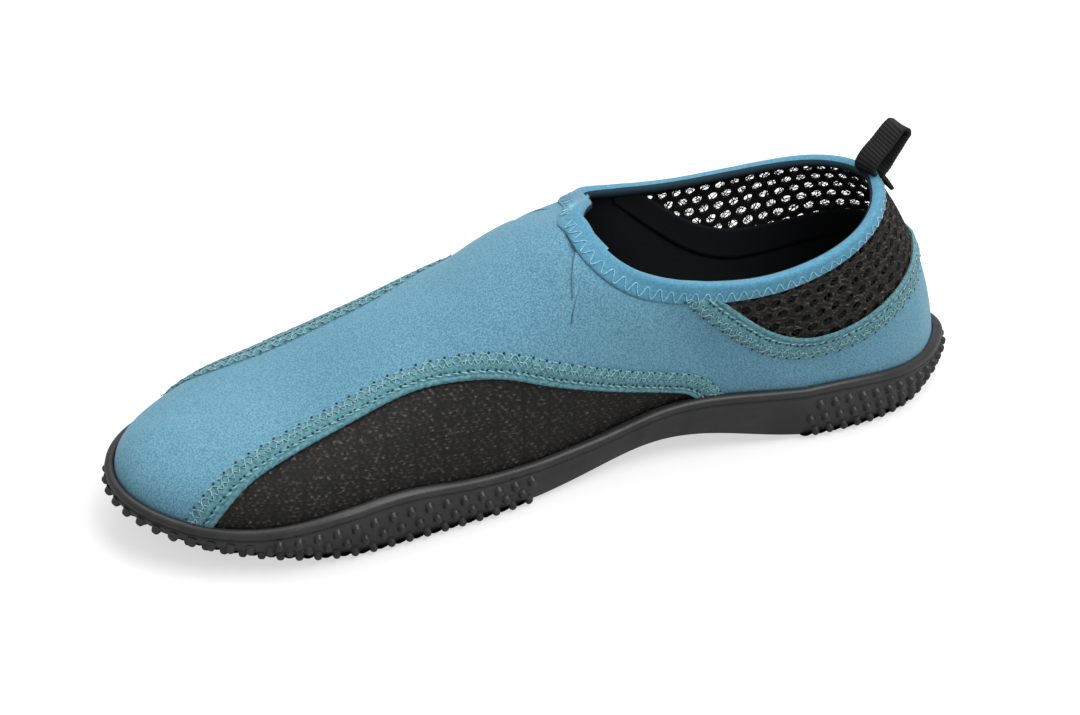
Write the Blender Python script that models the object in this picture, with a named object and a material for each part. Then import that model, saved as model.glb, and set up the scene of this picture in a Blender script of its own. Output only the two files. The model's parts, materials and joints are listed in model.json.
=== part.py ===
"""Water shoe for the right foot: a rubber cup sole, a neoprene upper with knitted mesh panels, a bound
collar and a pull loop. Metres, +X to the toe, +Y to the inner side of the foot, +Z up, and the origin
on the ground under the middle of the shoe."""

import math

import bmesh
import bpy
import numpy as np

MM = 0.001

# The last
LENGTH = 278 * MM
BALL_WIDTH = 94 * MM
INSTEP_HEIGHT = 80 * MM
TOE_BEND = 6 * MM
# Puts the middle of the bounding box over the origin
SIDEWAYS = 1.2 * MM
HEEL_REACH = 52 * MM
TOE_REACH = 35 * MM
FAN = 0.6
THROAT = 0.4705
# Turn over which the collar goes from its table of heights to its front
FRONT_BLEND = 0.06
COLLAR_SMOOTHING = 4 * MM
BEND_START = 0.65

# The sole
STUD_HEIGHT = 1.5 * MM
SOLE_BASE = 4 * MM
SOLE_SIDE = 16 * MM
SOLE_WALL = 3.4 * MM
TUCK = 0.22
LIP_HEIGHT = 3 * MM
WALL_INSET = 1.2 * MM
BOTTOM_INSET = 3.4 * MM
ARCH_RISE = 6.8 * MM
# The first part of either rise is taken off, so that heel and ball lie flat
GROUND_FLAT = 0.3 * MM
TOE_SPRING = 11 * MM
STUD_TAPER = 0.6
FORE_PITCH = 6.4 * MM
HEEL_PITCH = 5.4 * MM
PLAIN_PITCH = 14 * MM
LUGS_ACROSS = 6
HEEL_ZONE = 0.235
FORE_ZONE = 0.555

# The soft parts
GAP = 0.3 * MM
# Half the gap at a butted seam, where facets take some of it
EDGE_GAP = 0.22 * MM
FACET = 0.1 * MM
INSIDE_GAP = 1.1 * MM
THROAT_ROOM = 0.3 * MM
THROAT_REACH = 0.07
WALL = 2.5 * MM
MESH_THICKNESS = 1.6 * MM
MESH_SINK = 0.2 * MM
INSOLE = 3 * MM
SEAM_WIDTH = 7 * MM
SEAM_EDGE = 0.8 * MM
SEAM_CROWN = 1.3 * MM
BINDING_DEPTH = 6 * MM
BINDING_INSIDE = 5 * MM
BINDING = 1.0 * MM
LOOP_WIDTH = 9 * MM
LOOP_HEIGHT = 16 * MM
LOOP_GAP = 3 * MM
LOOP_KNEE = 4 * MM
LOOP_TAB = 11 * MM
LOOP_LEAN = math.radians(38)
LOOP_TWIST = math.radians(17)
LOOP_STEPS = 8
WEBBING = 1.3 * MM

# Places where a seam dips under this height above the sole's floor end the panel above it
PANEL_END = 2 * MM
SEAM_END = 0.8 * MM
SEAM_ROWS = 3
SEAM_STEPS = 40
SLIDE_STEPS = 4

COLLAR_STEPS = 22
THROAT_COLUMNS = 7
VAMP_STEPS = 24
UPPER_ROWS = 8
MESH_ROWS = 3

OUTLINE = (
    # along, inner side, outer side as shares of BALL_WIDTH
    (0.00, 0.000, 0.000),
    (0.02, 0.126, 0.138),
    (0.06, 0.240, 0.245),
    (0.12, 0.320, 0.325),
    (0.20, 0.345, 0.365),
    (0.30, 0.330, 0.390),
    (0.40, 0.315, 0.415),
    (0.50, 0.355, 0.445),
    (0.60, 0.420, 0.485),
    (0.70, 0.463, 0.515),
    (0.80, 0.476, 0.500),
    (0.88, 0.413, 0.420),
    (0.94, 0.309, 0.312),
    (0.98, 0.184, 0.192),
    (1.00, 0.000, 0.000),
)
UNDERSIDE = (
    # along, arch as a share of ARCH_RISE, spring as a share of TOE_SPRING
    (0.00, 0.00, 0.10),
    (0.12, 0.00, 0.00),
    (0.22, 0.00, 0.00),
    (0.34, 0.90, 0.00),
    (0.41, 0.98, 0.00),
    (0.48, 0.42, 0.00),
    (0.55, 0.04, 0.00),
    (0.62, 0.00, 0.00),
    (0.74, 0.00, 0.00),
    (0.82, 0.00, 0.22),
    (0.92, 0.00, 0.55),
    (1.00, 0.00, 1.00),
)
SIDE = (
    # along, height of the sole's side as a share of SOLE_SIDE, lean of its side as a share of BOTTOM_INSET
    (0.00, 0.80, 1.30),
    (0.10, 1.06, 1.10),
    (0.20, 1.19, 1.00),
    (0.30, 1.02, 1.00),
    (0.38, 0.83, 1.00),
    (0.45, 0.75, 1.00),
    (0.52, 0.85, 1.00),
    (0.58, 0.91, 1.00),
    (0.64, 1.01, 1.05),
    (0.70, 1.14, 1.10),
    (0.76, 1.08, 1.20),
    (0.84, 0.74, 1.50),
    (0.92, 0.56, 1.75),
    (1.00, 0.52, 1.80),
)
CREST = (
    # along, ridge of the last as a share of INSTEP_HEIGHT, its shift to the inner side as a share of BALL_WIDTH
    (0.10, 1.020, -0.005),
    (0.30, 1.200, 0.005),
    (0.46, 1.005, 0.006),
    (0.55, 0.860, 0.015),
    (0.65, 0.670, 0.025),
    (0.72, 0.570, 0.032),
    (0.80, 0.470, 0.042),
    (0.88, 0.415, 0.055),
)
SECTION = (
    # along, upright part of a section as a share of its height, level part as a share of its half width,
    # swell of its side as a share of BALL_WIDTH
    (0.00, 0.46, 0.30, -0.058),
    (0.30, 0.60, 1.05, 0.160),
    (0.60, 0.55, 0.75, 0.055),
    (0.80, 0.55, 0.75, 0.028),
    (1.00, 0.60, 0.65, 0.020),
)
COLLAR = (
    # along, height of the collar's edge as a share of INSTEP_HEIGHT
    (0.10, 0.975),
    (0.20, 0.848),
    (0.26, 0.800),
    (0.32, 0.780),
    (0.37, 0.790),
    (0.41, 0.820),
)
COLLAR_FRONT = (
    # turn, rise of the collar's front from the end of COLLAR round to the ridge
    (1.333, 0.468),
    (1.388, 0.532),
    (1.430, 0.612),
    (1.456, 0.705),
    (1.466, 0.795),
    (1.461, 0.872),
    (1.448, 0.940),
    (1.442, 1.000),
)
SIDE_SEAM = (
    # along, rise on the inner side, rise on the outer side
    (0.320, 0.00, 0.00),
    (0.353, 0.10, 0.10),
    (0.384, 0.14, 0.14),
    (0.436, 0.21, 0.21),
    (0.486, 0.305, 0.305),
    (0.533, 0.41, 0.41),
    (0.578, 0.53, 0.53),
    (0.624, 0.63, 0.63),
    (0.671, 0.70, 0.70),
    (0.746, 0.72, 0.72),
    (0.827, 0.68, 0.68),
    (0.865, 0.61, 0.61),
    (0.893, 0.49, 0.49),
    (0.909, 0.34, 0.34),
    (0.921, 0.18, 0.18),
    (0.932, 0.00, 0.00),
)
HEEL_SEAM = (
    # along, rise as a share of the collar's
    (0.00, 0.550),
    (0.10, 0.515),
    (0.20, 0.455),
    (0.25, 0.480),
    (0.30, 0.600),
    (0.33, 0.730),
    (0.355, 0.860),
    (0.38, 1.030),
)
LIP = (
    # way from the sole's side to the upper, height from the groove to the lip's top
    (0.25, 0.10),
    (0.05, 0.35),
    (0.40, 0.85),
    (0.78, 1.00),
)
# Heights of the three rows of studs, as shares of the side under the lip
STUD_ROWS = (0.20, 0.50, 0.80)
HEEL_LUGS = (0.03, 0.24)
FORE_LUGS = (0.56, 0.93)
LUG_TAPER = 0.7

# Finishes: colour and roughness
NEOPRENE = ((0.10, 0.30, 0.42), 0.8)
STITCHED = ((0.20, 0.44, 0.52), 0.8)
TAPE = ((0.12, 0.35, 0.47), 0.75)
KNIT = ((0.012, 0.011, 0.010), 0.9)
RUBBER = ((0.022, 0.022, 0.023), 0.6)
FOAM = ((0.012, 0.014, 0.022), 0.9)
WEBBING_BLACK = ((0.010, 0.010, 0.010), 0.85)


def spline(knots, values, at):
    """Natural cubic spline through the values, held level past its ends."""
    x, y = np.asarray(knots, float), np.asarray(values, float)
    at = np.clip(np.asarray(at, float), x[0], x[-1])
    gap = np.diff(x)
    matrix, right = np.zeros((len(x), len(x))), np.zeros(len(x))
    matrix[0, 0] = matrix[-1, -1] = 1
    for i in range(1, len(x) - 1):
        matrix[i, i - 1:i + 2] = gap[i - 1], 2 * (gap[i - 1] + gap[i]), gap[i]
        right[i] = 6 * ((y[i + 1] - y[i]) / gap[i] - (y[i] - y[i - 1]) / gap[i - 1])
    curve = np.linalg.solve(matrix, right)
    k = np.clip(np.searchsorted(x, at) - 1, 0, len(x) - 2)
    after, before, h = at - x[k], x[k + 1] - at, gap[k]
    return (
        (curve[k] * before**3 + curve[k + 1] * after**3) / (6 * h)
        + (y[k] / h - curve[k] * h / 6) * before
        + (y[k + 1] / h - curve[k + 1] * h / 6) * after
    )


def along(table, column, x):
    """A table's column read at x, where its rows say how far along the shoe they are."""
    return spline([row[0] for row in table], [row[column] for row in table], np.asarray(x) / LENGTH + 0.5)


def around(table, column, turn):
    """A table's column read at a turn, where its rows say how far along the outline they are."""
    knots = [math.acos(1 - 2 * row[0]) for row in table]
    return spline(knots, [row[column] for row in table], np.abs(wrapped(turn)))


def wrapped(turn):
    """Turn round the foot from -pi to pi: 0 at the heel, pi at the toe, above 0 on the inner side."""
    return (np.asarray(turn, float) + math.pi) % (2 * math.pi) - math.pi


def outline(turn):
    """Plan of the sole, over its studs."""
    turn = wrapped(turn)
    x = -np.cos(turn) * LENGTH / 2
    half = np.where(turn > 0, around(OUTLINE, 1, turn), around(OUTLINE, 2, turn)) * BALL_WIDTH
    bend = SIDEWAYS + TOE_BEND * np.clip((x / LENGTH + 0.5 - BEND_START) / (1 - BEND_START), 0, 1) ** 2
    return np.stack([x, bend + np.sign(turn) * half], -1)


def outward(turn):
    """Level direction square to the outline."""
    step = 2e-3
    run = outline(turn + step) - outline(turn - step)
    run /= np.linalg.norm(run, axis=-1, keepdims=True)
    return np.stack([-run[..., 1], run[..., 0]], -1)


def inset(turn, distance):
    return outline(turn) - outward(turn) * np.broadcast_to(distance, np.shape(turn))[..., None]


def level(plan, height):
    """Plan points lifted to a height."""
    return np.concatenate([plan, np.broadcast_to(height, plan.shape[:-1])[..., None]], -1)


def underside(x):
    """Height of the sole's bottom between its studs."""
    rise = ARCH_RISE * along(UNDERSIDE, 1, x) + TOE_SPRING * along(UNDERSIDE, 2, x)
    return STUD_HEIGHT + np.maximum(rise - GROUND_FLAT, 0)


def sole_top(x):
    """Height of the sole's lip."""
    return underside(x) + SOLE_SIDE * along(SIDE, 1, x)


def sole_floor(x):
    return underside(x) + SOLE_BASE


def crest(turn):
    """Point of the last's ridge that each section climbs to, and the ridge's slope there."""
    x = -np.cos(turn) * LENGTH / 2
    back, front = x + LENGTH / 2, LENGTH / 2 - x
    x = x + HEEL_REACH * np.exp(-FAN * back / HEEL_REACH) - TOE_REACH * np.exp(-FAN * front / TOE_REACH)
    height = INSTEP_HEIGHT * along(CREST, 1, x)
    slope = INSTEP_HEIGHT * (along(CREST, 1, x + MM) - along(CREST, 1, x - MM)) / (2 * MM)
    return np.stack([x, SIDEWAYS + BALL_WIDTH * along(CREST, 2, x), height], -1), slope


def base_line(turn):
    """Lower edge of the upper, on the sole's floor."""
    x = outline(turn)[..., 0]
    tuck = TUCK * BALL_WIDTH * np.maximum(along(SECTION, 3, x), 0)
    plan = inset(turn, SOLE_WALL + GAP + tuck)
    return level(plan, sole_floor(plan[..., 0]) + GAP)


def skin(turn, rise):
    """Outer face of the upper, at a rise from 0 on the sole's floor to 1 on the last's ridge."""
    turn, rise = np.broadcast_arrays(np.asarray(turn, float), np.asarray(rise, float))
    low = base_line(turn)
    high, slope = crest(turn)
    side, top, bulge = (along(SECTION, k, low[..., 0]) for k in (1, 2, 3))
    handle_low = level(
        low[..., :2] + outward(turn) * (bulge * BALL_WIDTH)[..., None],
        low[..., 2] + side * (high[..., 2] - low[..., 2]),
    )
    reach = (low[..., :2] - high[..., :2]) * top[..., None]
    handle_high = level(high[..., :2] + reach, high[..., 2] + slope * reach[..., 0])
    r = rise[..., None]
    return (
        (1 - r) ** 3 * low
        + 3 * (1 - r) ** 2 * r * handle_low
        + 3 * (1 - r) * r**2 * handle_high
        + r**3 * high
    )


def skin_normal(turn, rise):
    """Direction out of the upper."""
    turn, rise = np.broadcast_arrays(np.asarray(turn, float), np.asarray(rise, float))
    step = 1e-3
    top = np.minimum(rise, 1 - 2 * step)
    round_foot = skin(turn + step, top) - skin(turn - step, top)
    up = skin(turn, top + step) - skin(turn, top - step)
    normal = np.cross(up, round_foot)
    ridge = np.stack([-crest(turn)[1], 0 * turn, 1 + 0 * turn], -1)
    normal = np.where((rise > 1 - 4 * step)[..., None], ridge, normal)
    return normal / np.linalg.norm(normal, axis=-1, keepdims=True)


def collar_height(x):
    """Side view of the collar, which meets the ridge at the throat."""
    throat = along(CREST, 1, (THROAT - 0.5) * LENGTH)
    rows = [*COLLAR, (THROAT, float(throat))]
    return INSTEP_HEIGHT * along(rows, 1, x)


def rise_where(turn, passed):
    """Lowest rise at which each section passes a test, or 1."""
    turn = np.asarray(turn, float)
    low, high = np.zeros(turn.shape), np.ones(turn.shape)
    for _ in range(30):
        middle = (low + high) / 2
        over = passed(skin(turn, middle))
        high = np.where(over, middle, high)
        low = np.where(over, low, middle)
    return high


def collar_rise(turn):
    throat = (THROAT - 0.5) * LENGTH
    return rise_where(turn, lambda p: (p[..., 2] > collar_height(p[..., 0])) & (p[..., 0] < throat))


def collar_line():
    """Turns and rises of even steps along the collar, from the heel to its front and round that to the ridge."""
    turn = np.linspace(0, COLLAR_FRONT[0][0] - FRONT_BLEND, 600)
    rise = collar_rise(turn)
    places = skin(*(np.array(column) for column in zip(*COLLAR_FRONT)))
    travelled = np.concatenate([[0], np.cumsum(np.linalg.norm(np.diff(places, axis=0), axis=1))])
    at = np.linspace(0, travelled[-1], 100)
    turn = np.concatenate([turn, spline(travelled, [row[0] for row in COLLAR_FRONT], at)])
    rise = np.concatenate([rise, spline(travelled, [row[1] for row in COLLAR_FRONT], at)])
    lengths = np.linalg.norm(np.diff(skin(turn, rise), axis=0), axis=1)
    travelled = np.concatenate([[0], np.cumsum(lengths)])
    total = travelled[-1]
    at = np.linspace(0, total, 400)
    turn, rise = np.interp(at, travelled, turn), np.interp(at, travelled, rise)
    # The line goes on over the ridge as its own mirror image, so that the smoothing keeps its end there
    turn, rise = np.concatenate([turn, turn[-2::-1]]), np.concatenate([rise, 2 - rise[-2::-1]])
    places = np.concatenate([at, 2 * total - at[-2::-1]])
    weight = np.exp(-0.5 * ((places[None, :] - at[:, None]) / COLLAR_SMOOTHING) ** 2)
    weight /= weight.sum(1, keepdims=True)
    front = np.clip((at - total / 2) / (total / 4), 0, 1)
    turn = at * 0 + turn[:400] + front * (weight @ turn - turn[:400])
    rise = rise[:400] + front * (weight @ rise - rise[:400])
    rise[-1] = 1
    steps = np.linspace(0, total, COLLAR_STEPS + 1)
    return np.interp(steps, at, turn), np.interp(steps, at, rise)


def sole_rise(turn):
    """Rise at which the upper comes out of the sole, with room for a facet over its lip."""
    return rise_where(turn, lambda p: p[..., 2] > sole_top(p[..., 0]) + 2 * GAP)


def throat_turn():
    """Turn whose section ends at the throat."""
    low, high = 0.5, math.pi - 0.5
    for _ in range(40):
        middle = (low + high) / 2
        if crest(np.array(middle))[0][0] > (THROAT - 0.5) * LENGTH:
            high = middle
        else:
            low = middle
    return high


def even_turns(line, start, end, count):
    """Turns that cut a line round the foot into equal lengths."""
    fine = np.linspace(start, end, 600)
    lengths = np.linalg.norm(np.diff(line(fine), axis=0), axis=1)
    travelled = np.concatenate([[0], np.cumsum(lengths)])
    return np.interp(np.linspace(0, travelled[-1], count + 1), travelled, fine)


def mirrored(values):
    return np.concatenate([values[:0:-1], values[:-1]])


def both_sides(turns):
    """Turns from heel to toe, mirrored into a full ring that starts at the toe."""
    return np.concatenate([-turns[:0:-1], turns[:-1]])


def side_seam(turn):
    """Rise of the side seam's middle; 0 where the panel has no side mesh."""
    turn = wrapped(turn)
    rise = np.where(turn > 0, around(SIDE_SEAM, 1, turn), around(SIDE_SEAM, 2, turn))
    return np.maximum(rise, 0)


def heel_seam(turn):
    """Rise of the heel seam's middle; the collar's own past the seam's ends."""
    return np.minimum(around(HEEL_SEAM, 1, turn), 1) * collar_rise(turn)


def rise_per_metre(turn, rise):
    step = 1e-3
    return step / np.linalg.norm(skin(turn, rise + step) - skin(turn, rise), axis=-1)


def slide(turn, rise, direction, distance):
    """Turn and rise of the point that lies a distance off in a direction along the skin."""
    step = 1e-3
    for _ in range(SLIDE_STEPS):
        round_foot = (skin(turn + step, rise) - skin(turn - step, rise)) / (2 * step)
        up = (skin(turn, rise) - skin(turn, rise - step)) / step
        aa, ab, bb = ((p * q).sum(-1) for p, q in ((round_foot, round_foot), (round_foot, up), (up, up)))
        ca, cb = ((p * direction).sum(-1) * distance / SLIDE_STEPS for p in (round_foot, up))
        area = aa * bb - ab * ab
        turn, rise = turn + (ca * bb - cb * ab) / area, rise + (cb * aa - ca * ab) / area
        over = rise > 1
        turn, rise = np.where(over, -turn, turn), np.where(over, 2 - rise, rise)
    return turn, rise


def across(turn, rise):
    """Direction along the skin and square to the line that the points follow."""
    points = skin(turn, rise)
    run = np.gradient(points, axis=0)
    side = np.cross(run, skin_normal(turn, rise))
    return side / np.linalg.norm(side, axis=-1, keepdims=True)


def between(turns, low, high, rows, outer, thickness, tops=None):
    """Outer and inner points of a panel between two lines round the upper."""
    share = np.linspace(0, 1, rows + 1)
    rise = low[:, None] + (high - low)[:, None] * share
    turn = turns[:, None] + ((turns if tops is None else tops) - turns)[:, None] * share**3
    face, normal = skin(turn, rise), skin_normal(turn, rise)
    return face + outer * normal, face + (outer - thickness) * normal


def material(name, color, roughness):
    """A plain finish for a piece."""
    made = bpy.data.materials.new(name)
    made.use_nodes = True
    shader = made.node_tree.nodes["Principled BSDF"]
    shader.inputs["Base Color"].default_value = (*color, 1)
    shader.inputs["Roughness"].default_value = roughness
    shader.inputs["Metallic"].default_value = 0
    made.diffuse_color = (*color, 1)
    return made


def add_object(name, bm, finish):
    """Close the mesh's seams, turn its faces out and put it in the scene."""
    bmesh.ops.remove_doubles(bm, verts=bm.verts[:], dist=0.001 * MM)
    bmesh.ops.recalc_face_normals(bm, faces=bm.faces[:])
    mesh = bpy.data.meshes.new(name)
    bm.to_mesh(mesh)
    bm.free()
    mesh.shade_smooth()
    mesh.set_sharp_from_angle(angle=math.radians(50))
    mesh.materials.append(material(name, *finish))
    made = bpy.data.objects.new(name, mesh)
    bpy.context.scene.collection.objects.link(made)
    return made


def add_shell(name, outer, inner, finish, closed=False, welded=None):
    """A sheet between two grids of points. Its upper rim stays open where it is welded to the other side."""
    columns, rows = outer.shape[:2]
    bm = bmesh.new()
    faces = [[[bm.verts.new(p) for p in column] for column in grid] for grid in (outer, inner)]
    steps = columns if closed else columns - 1
    for i in range(steps):
        j = (i + 1) % columns
        for k in range(rows - 1):
            for side in faces:
                bm.faces.new((side[i][k], side[i][k + 1], side[j][k + 1], side[j][k]))
        for k in (0, rows - 1):
            if k and welded is not None and welded[i] and welded[j]:
                continue
            bm.faces.new((faces[0][i][k], faces[0][j][k], faces[1][j][k], faces[1][i][k]))
    if not closed:
        for i in (0, columns - 1):
            for k in range(rows - 1):
                bm.faces.new((faces[0][i][k], faces[0][i][k + 1], faces[1][i][k + 1], faces[1][i][k]))
    return add_object(name, bm, finish)


def add_tube(name, rings, finish, closed):
    """A solid swept through rings of points."""
    bm = bmesh.new()
    verts = [[bm.verts.new(p) for p in ring] for ring in rings]
    steps = len(rings) if closed else len(rings) - 1
    for i in range(steps):
        here, there = verts[i], verts[(i + 1) % len(rings)]
        for k in range(len(here)):
            m = (k + 1) % len(here)
            bm.faces.new((here[k], here[m], there[m], there[k]))
    if not closed:
        bm.faces.new(verts[0])
        bm.faces.new(verts[-1])
    return add_object(name, bm, finish)


def make_upper(turns, tops, collar):
    """Neoprene shell: vamp, quarters and heel, open at the collar, the side meshes and the heel mesh."""
    seam, heel = side_seam(turns), heel_seam(tops)
    low = np.where(side_panel(turns), seam + EDGE_GAP * rise_per_metre(turns, seam), 0)
    high = np.where(heel_panel(turns), heel - EDGE_GAP * rise_per_metre(turns, heel), collar)
    outer, inner = between(turns, low, high, UPPER_ROWS, 0, WALL, tops)
    return add_shell("upper", outer, inner, NEOPRENE, closed=True, welded=collar > 1 - 1e-6)


def side_panel(turns):
    """Whether a section holds a side mesh."""
    seam = side_seam(turns)
    return seam / rise_per_metre(turns, seam) > PANEL_END


def heel_panel(turns):
    """Whether a section holds the heel mesh."""
    collar, heel = collar_rise(turns), heel_seam(turns)
    return (collar - heel) / rise_per_metre(turns, heel) > PANEL_END


def make_side_mesh(name, turns):
    turns = turns[side_panel(turns)]
    seam = side_seam(turns)
    high = seam - EDGE_GAP * rise_per_metre(turns, seam)
    outer, inner = between(turns, 0 * turns, high, MESH_ROWS, -MESH_SINK, MESH_THICKNESS)
    return add_shell(name, outer, inner, KNIT)


def make_heel_mesh(turns):
    turns = turns[heel_panel(turns)]
    heel = heel_seam(turns)
    low = heel + EDGE_GAP * rise_per_metre(turns, heel)
    outer, inner = between(turns, low, collar_rise(turns), MESH_ROWS, -MESH_SINK, MESH_THICKNESS)
    return add_shell("mesh_heel", outer, inner, KNIT)


def make_seam(name, turns, rise, floor, ceiling):
    """Raised band over a seam, cut off square where it meets the sole's lip or the binding."""
    side = across(turns, rise)
    low_turn, low = slide(turns, rise, side, -SEAM_WIDTH / 2)
    high_turn, high = slide(turns, rise, side, SEAM_WIDTH / 2)
    low = np.maximum(low, floor(low_turn))
    high = np.minimum(high, ceiling(high_turn))
    kept = (high - low) / rise_per_metre(turns, rise) > SEAM_END
    share = np.linspace(0, 1, SEAM_ROWS + 1)
    turn = low_turn[kept, None] + (high_turn - low_turn)[kept, None] * share
    rise = low[kept, None] + (high - low)[kept, None] * share
    face, normal = skin(turn, rise), skin_normal(turn, rise)
    height = SEAM_EDGE + (SEAM_CROWN - SEAM_EDGE) * np.sin(math.pi * share)
    outer = face + normal * (GAP + height)[None, :, None]
    return add_shell(name, outer, face + normal * GAP, STITCHED)


def make_binding(turns, rise):
    """Bias tape folded over the collar's edge, outside and inside."""
    points = skin(turns, rise)
    run = np.roll(points, -1, axis=0) - np.roll(points, 1, axis=0)
    normal = skin_normal(turns, rise)
    side = np.cross(normal, run)
    side /= np.linalg.norm(side, axis=-1, keepdims=True)
    front = np.clip((points[:, 0] / LENGTH + 0.5 - THROAT) / THROAT_REACH + 1, 0, 1)
    room = (THROAT_ROOM * front)[:, None]
    inner, outer = -WALL - INSIDE_GAP - room, GAP + room
    round_top = BINDING / 2
    rings = []
    for out, down in (
        (outer + BINDING, BINDING_DEPTH),
        (outer + BINDING, 0),
        (outer + BINDING - round_top, -GAP - BINDING),
        (inner - BINDING + round_top, -GAP - BINDING),
        (inner - BINDING, 0),
        (inner - BINDING, BINDING_INSIDE),
        (inner, BINDING_INSIDE),
        (inner, -GAP),
        (outer, -GAP),
        (outer, BINDING_DEPTH),
    ):
        if down > 0:
            turn, low = slide(turns, rise, side, down)
            rings.append(skin(turn, low) + out * skin_normal(turn, low))
        else:
            rings.append(points + out * normal + down * side)
    add_tube("collar_binding", np.stack(rings, 1), TAPE, closed=True)


def make_insole(turns):
    """Thin foam sheet on the sole's floor, inside the upper."""
    low = base_line(turns)[..., 2]
    top_rise = rise_where(turns, lambda p: p[..., 2] > sole_floor(p[..., 0]) + GAP + INSOLE)
    rings = []
    for rise, height in ((0 * turns, 0), (top_rise, INSOLE)):
        inner = skin(turns, rise) - (WALL + INSIDE_GAP) * skin_normal(turns, rise)
        rings.append(level(inner[..., :2], low + height))
    bm = bmesh.new()
    low, high = ([bm.verts.new(p) for p in ring] for ring in rings)
    fill_across(bm, low)
    fill_across(bm, high)
    wall_between(bm, low, high)
    return add_object("insole", bm, FOAM)


def wall_between(bm, low, high):
    for i in range(len(low)):
        j = (i + 1) % len(low)
        bm.faces.new((low[i], low[j], high[j], high[i]))


def fill_across(bm, ring):
    """Strips from side to side over a ring that starts at the toe and runs round by the outer side."""
    count = len(ring)
    for i in range(count // 2):
        corners = [ring[i], ring[i + 1], ring[(-i - 1) % count], ring[-i % count]]
        bm.faces.new(list(dict.fromkeys(corners)))


def add_stud(bm, corners, height, taper):
    """A block with a smaller top, raised on a cell of the sole in place of its face."""
    places = [np.array(corner.co) for corner in corners]
    middle = sum(places) / len(places)
    normal = np.cross(places[2] - places[0], places[3] - places[1])
    normal /= np.linalg.norm(normal)
    top = [bm.verts.new(middle + (place - middle) * taper + normal * height) for place in places]
    for k in range(4):
        m = (k + 1) % 4
        bm.faces.new((corners[k], corners[m], top[m], top[k]))
    bm.faces.new(top)


def stud_zone(turn):
    """Whether a place round the outline has studs."""
    place = outline(turn)[..., 0] / LENGTH + 0.5
    return (place < HEEL_ZONE) | (place > FORE_ZONE)


def sole_turns():
    """Turns of the sole's columns, two for each stud."""
    ends = [0, *(math.acos(1 - 2 * share) for share in (HEEL_ZONE, FORE_ZONE)), math.pi]
    turns = [np.zeros(1)]
    for start, end, pitch in zip(ends, ends[1:], (HEEL_PITCH, PLAIN_PITCH, FORE_PITCH)):
        length = np.linalg.norm(np.diff(outline(np.linspace(start, end, 200)), axis=0), axis=1).sum()
        turns.append(even_turns(outline, start, end, 2 * max(1, round(length / pitch)))[1:])
    return both_sides(np.concatenate(turns))


def make_outsole():
    """Cup sole: bottom with lugs, side wall with studs, groove and lip, and the cup inside."""
    turns = sole_turns()
    bm = bmesh.new()
    bottom = inset(turns, BOTTOM_INSET * along(SIDE, 2, outline(turns)[..., 0]))
    rings = [level(bottom, underside(bottom[..., 0]))]
    wall = inset(turns, WALL_INSET)
    foot, head = underside(wall[..., 0]), sole_top(wall[..., 0]) - LIP_HEIGHT
    for share in STUD_ROWS:
        rings.append(level(wall, foot + share * (head - foot)))
    rings.append(level(wall, head))
    rings = [[bm.verts.new(p) for p in ring] for ring in rings]
    for k in range(len(rings) - 1):
        for i in range(len(turns)):
            j = (i + 1) % len(turns)
            corners = (rings[k][i], rings[k][j], rings[k + 1][j], rings[k + 1][i])
            middle = (turns[i] + (turns[j] - turns[i]) % (2 * math.pi) / 2)
            if k < len(STUD_ROWS) and (i + k) % 2 == 0 and stud_zone(middle):
                add_stud(bm, corners, WALL_INSET, STUD_TAPER)
            else:
                bm.faces.new(corners)
    add_lip(bm, turns, rings[-1])
    add_bottom(bm, turns, rings[0])
    return add_object("outsole", bm, RUBBER)


def add_lip(bm, turns, edge):
    """Groove, lip and the inside of the cup, on every second column."""
    turns = turns[::2]
    top = rise_where(turns, lambda p: p[..., 2] > sole_top(p[..., 0]) - LIP_HEIGHT / 4)
    room = GAP + FACET
    cup = [skin(turns, top * share) + room * skin_normal(turns, top * share) for share in (1, 0.5, 0)]
    wall = inset(turns, WALL_INSET)
    rings = []
    for way, share in LIP:
        plan = wall + way * (cup[0][..., :2] - wall)
        rings.append(level(plan, sole_top(plan[..., 0]) - LIP_HEIGHT * (1 - share)))
    rings += cup[:2]
    foot = cup[2]
    rings.append(level(foot[..., :2], sole_floor(foot[..., 0])))
    rings = [[bm.verts.new(p) for p in ring] for ring in rings]
    for i in range(len(turns)):
        j = (i + 1) % len(turns)
        middle = edge[2 * i + 1]
        bm.faces.new((edge[2 * i], middle, edge[(2 * i + 2) % len(edge)], rings[0][j], rings[0][i]))
    for low, high in zip(rings, rings[1:]):
        wall_between(bm, low, high)
    fill_across(bm, rings[-1])


def add_bottom(bm, turns, border):
    """Bottom of the sole, in strips from side to side with every second cell raised into a lug."""
    count = len(turns)
    rows = []
    for i in range(0, count // 2 + 1, 2):
        left, right = border[i], border[-i % count]
        if left is right:
            rows.append([left] * (LUGS_ACROSS + 1))
            continue
        row = [left]
        for k in range(1, LUGS_ACROSS):
            place = left.co.lerp(right.co, k / LUGS_ACROSS)
            place.z = float(underside(place.x))
            row.append(bm.verts.new(place))
        rows.append([*row, right])
    for n, (here, there) in enumerate(zip(rows, rows[1:])):
        i = 2 * n
        place = here[1].co.lerp(there[1].co, 0.5).x / LENGTH + 0.5
        for k in range(LUGS_ACROSS):
            corners = [here[k], here[k + 1], there[k + 1], there[k]]
            if 0 < k < LUGS_ACROSS - 1 and (n + k) % 2 == 0 and HEEL_LUGS[0] < place < HEEL_LUGS[1]:
                add_lug(bm, corners)
                continue
            if 0 < k < LUGS_ACROSS - 1 and (n + k) % 2 == 0 and FORE_LUGS[0] < place < FORE_LUGS[1]:
                add_lug(bm, corners)
                continue
            if k == 0:
                corners.append(border[i + 1])
            if k == LUGS_ACROSS - 1:
                corners.insert(2, border[-i - 1])
            bm.faces.new(list(dict.fromkeys(corners)))


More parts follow.
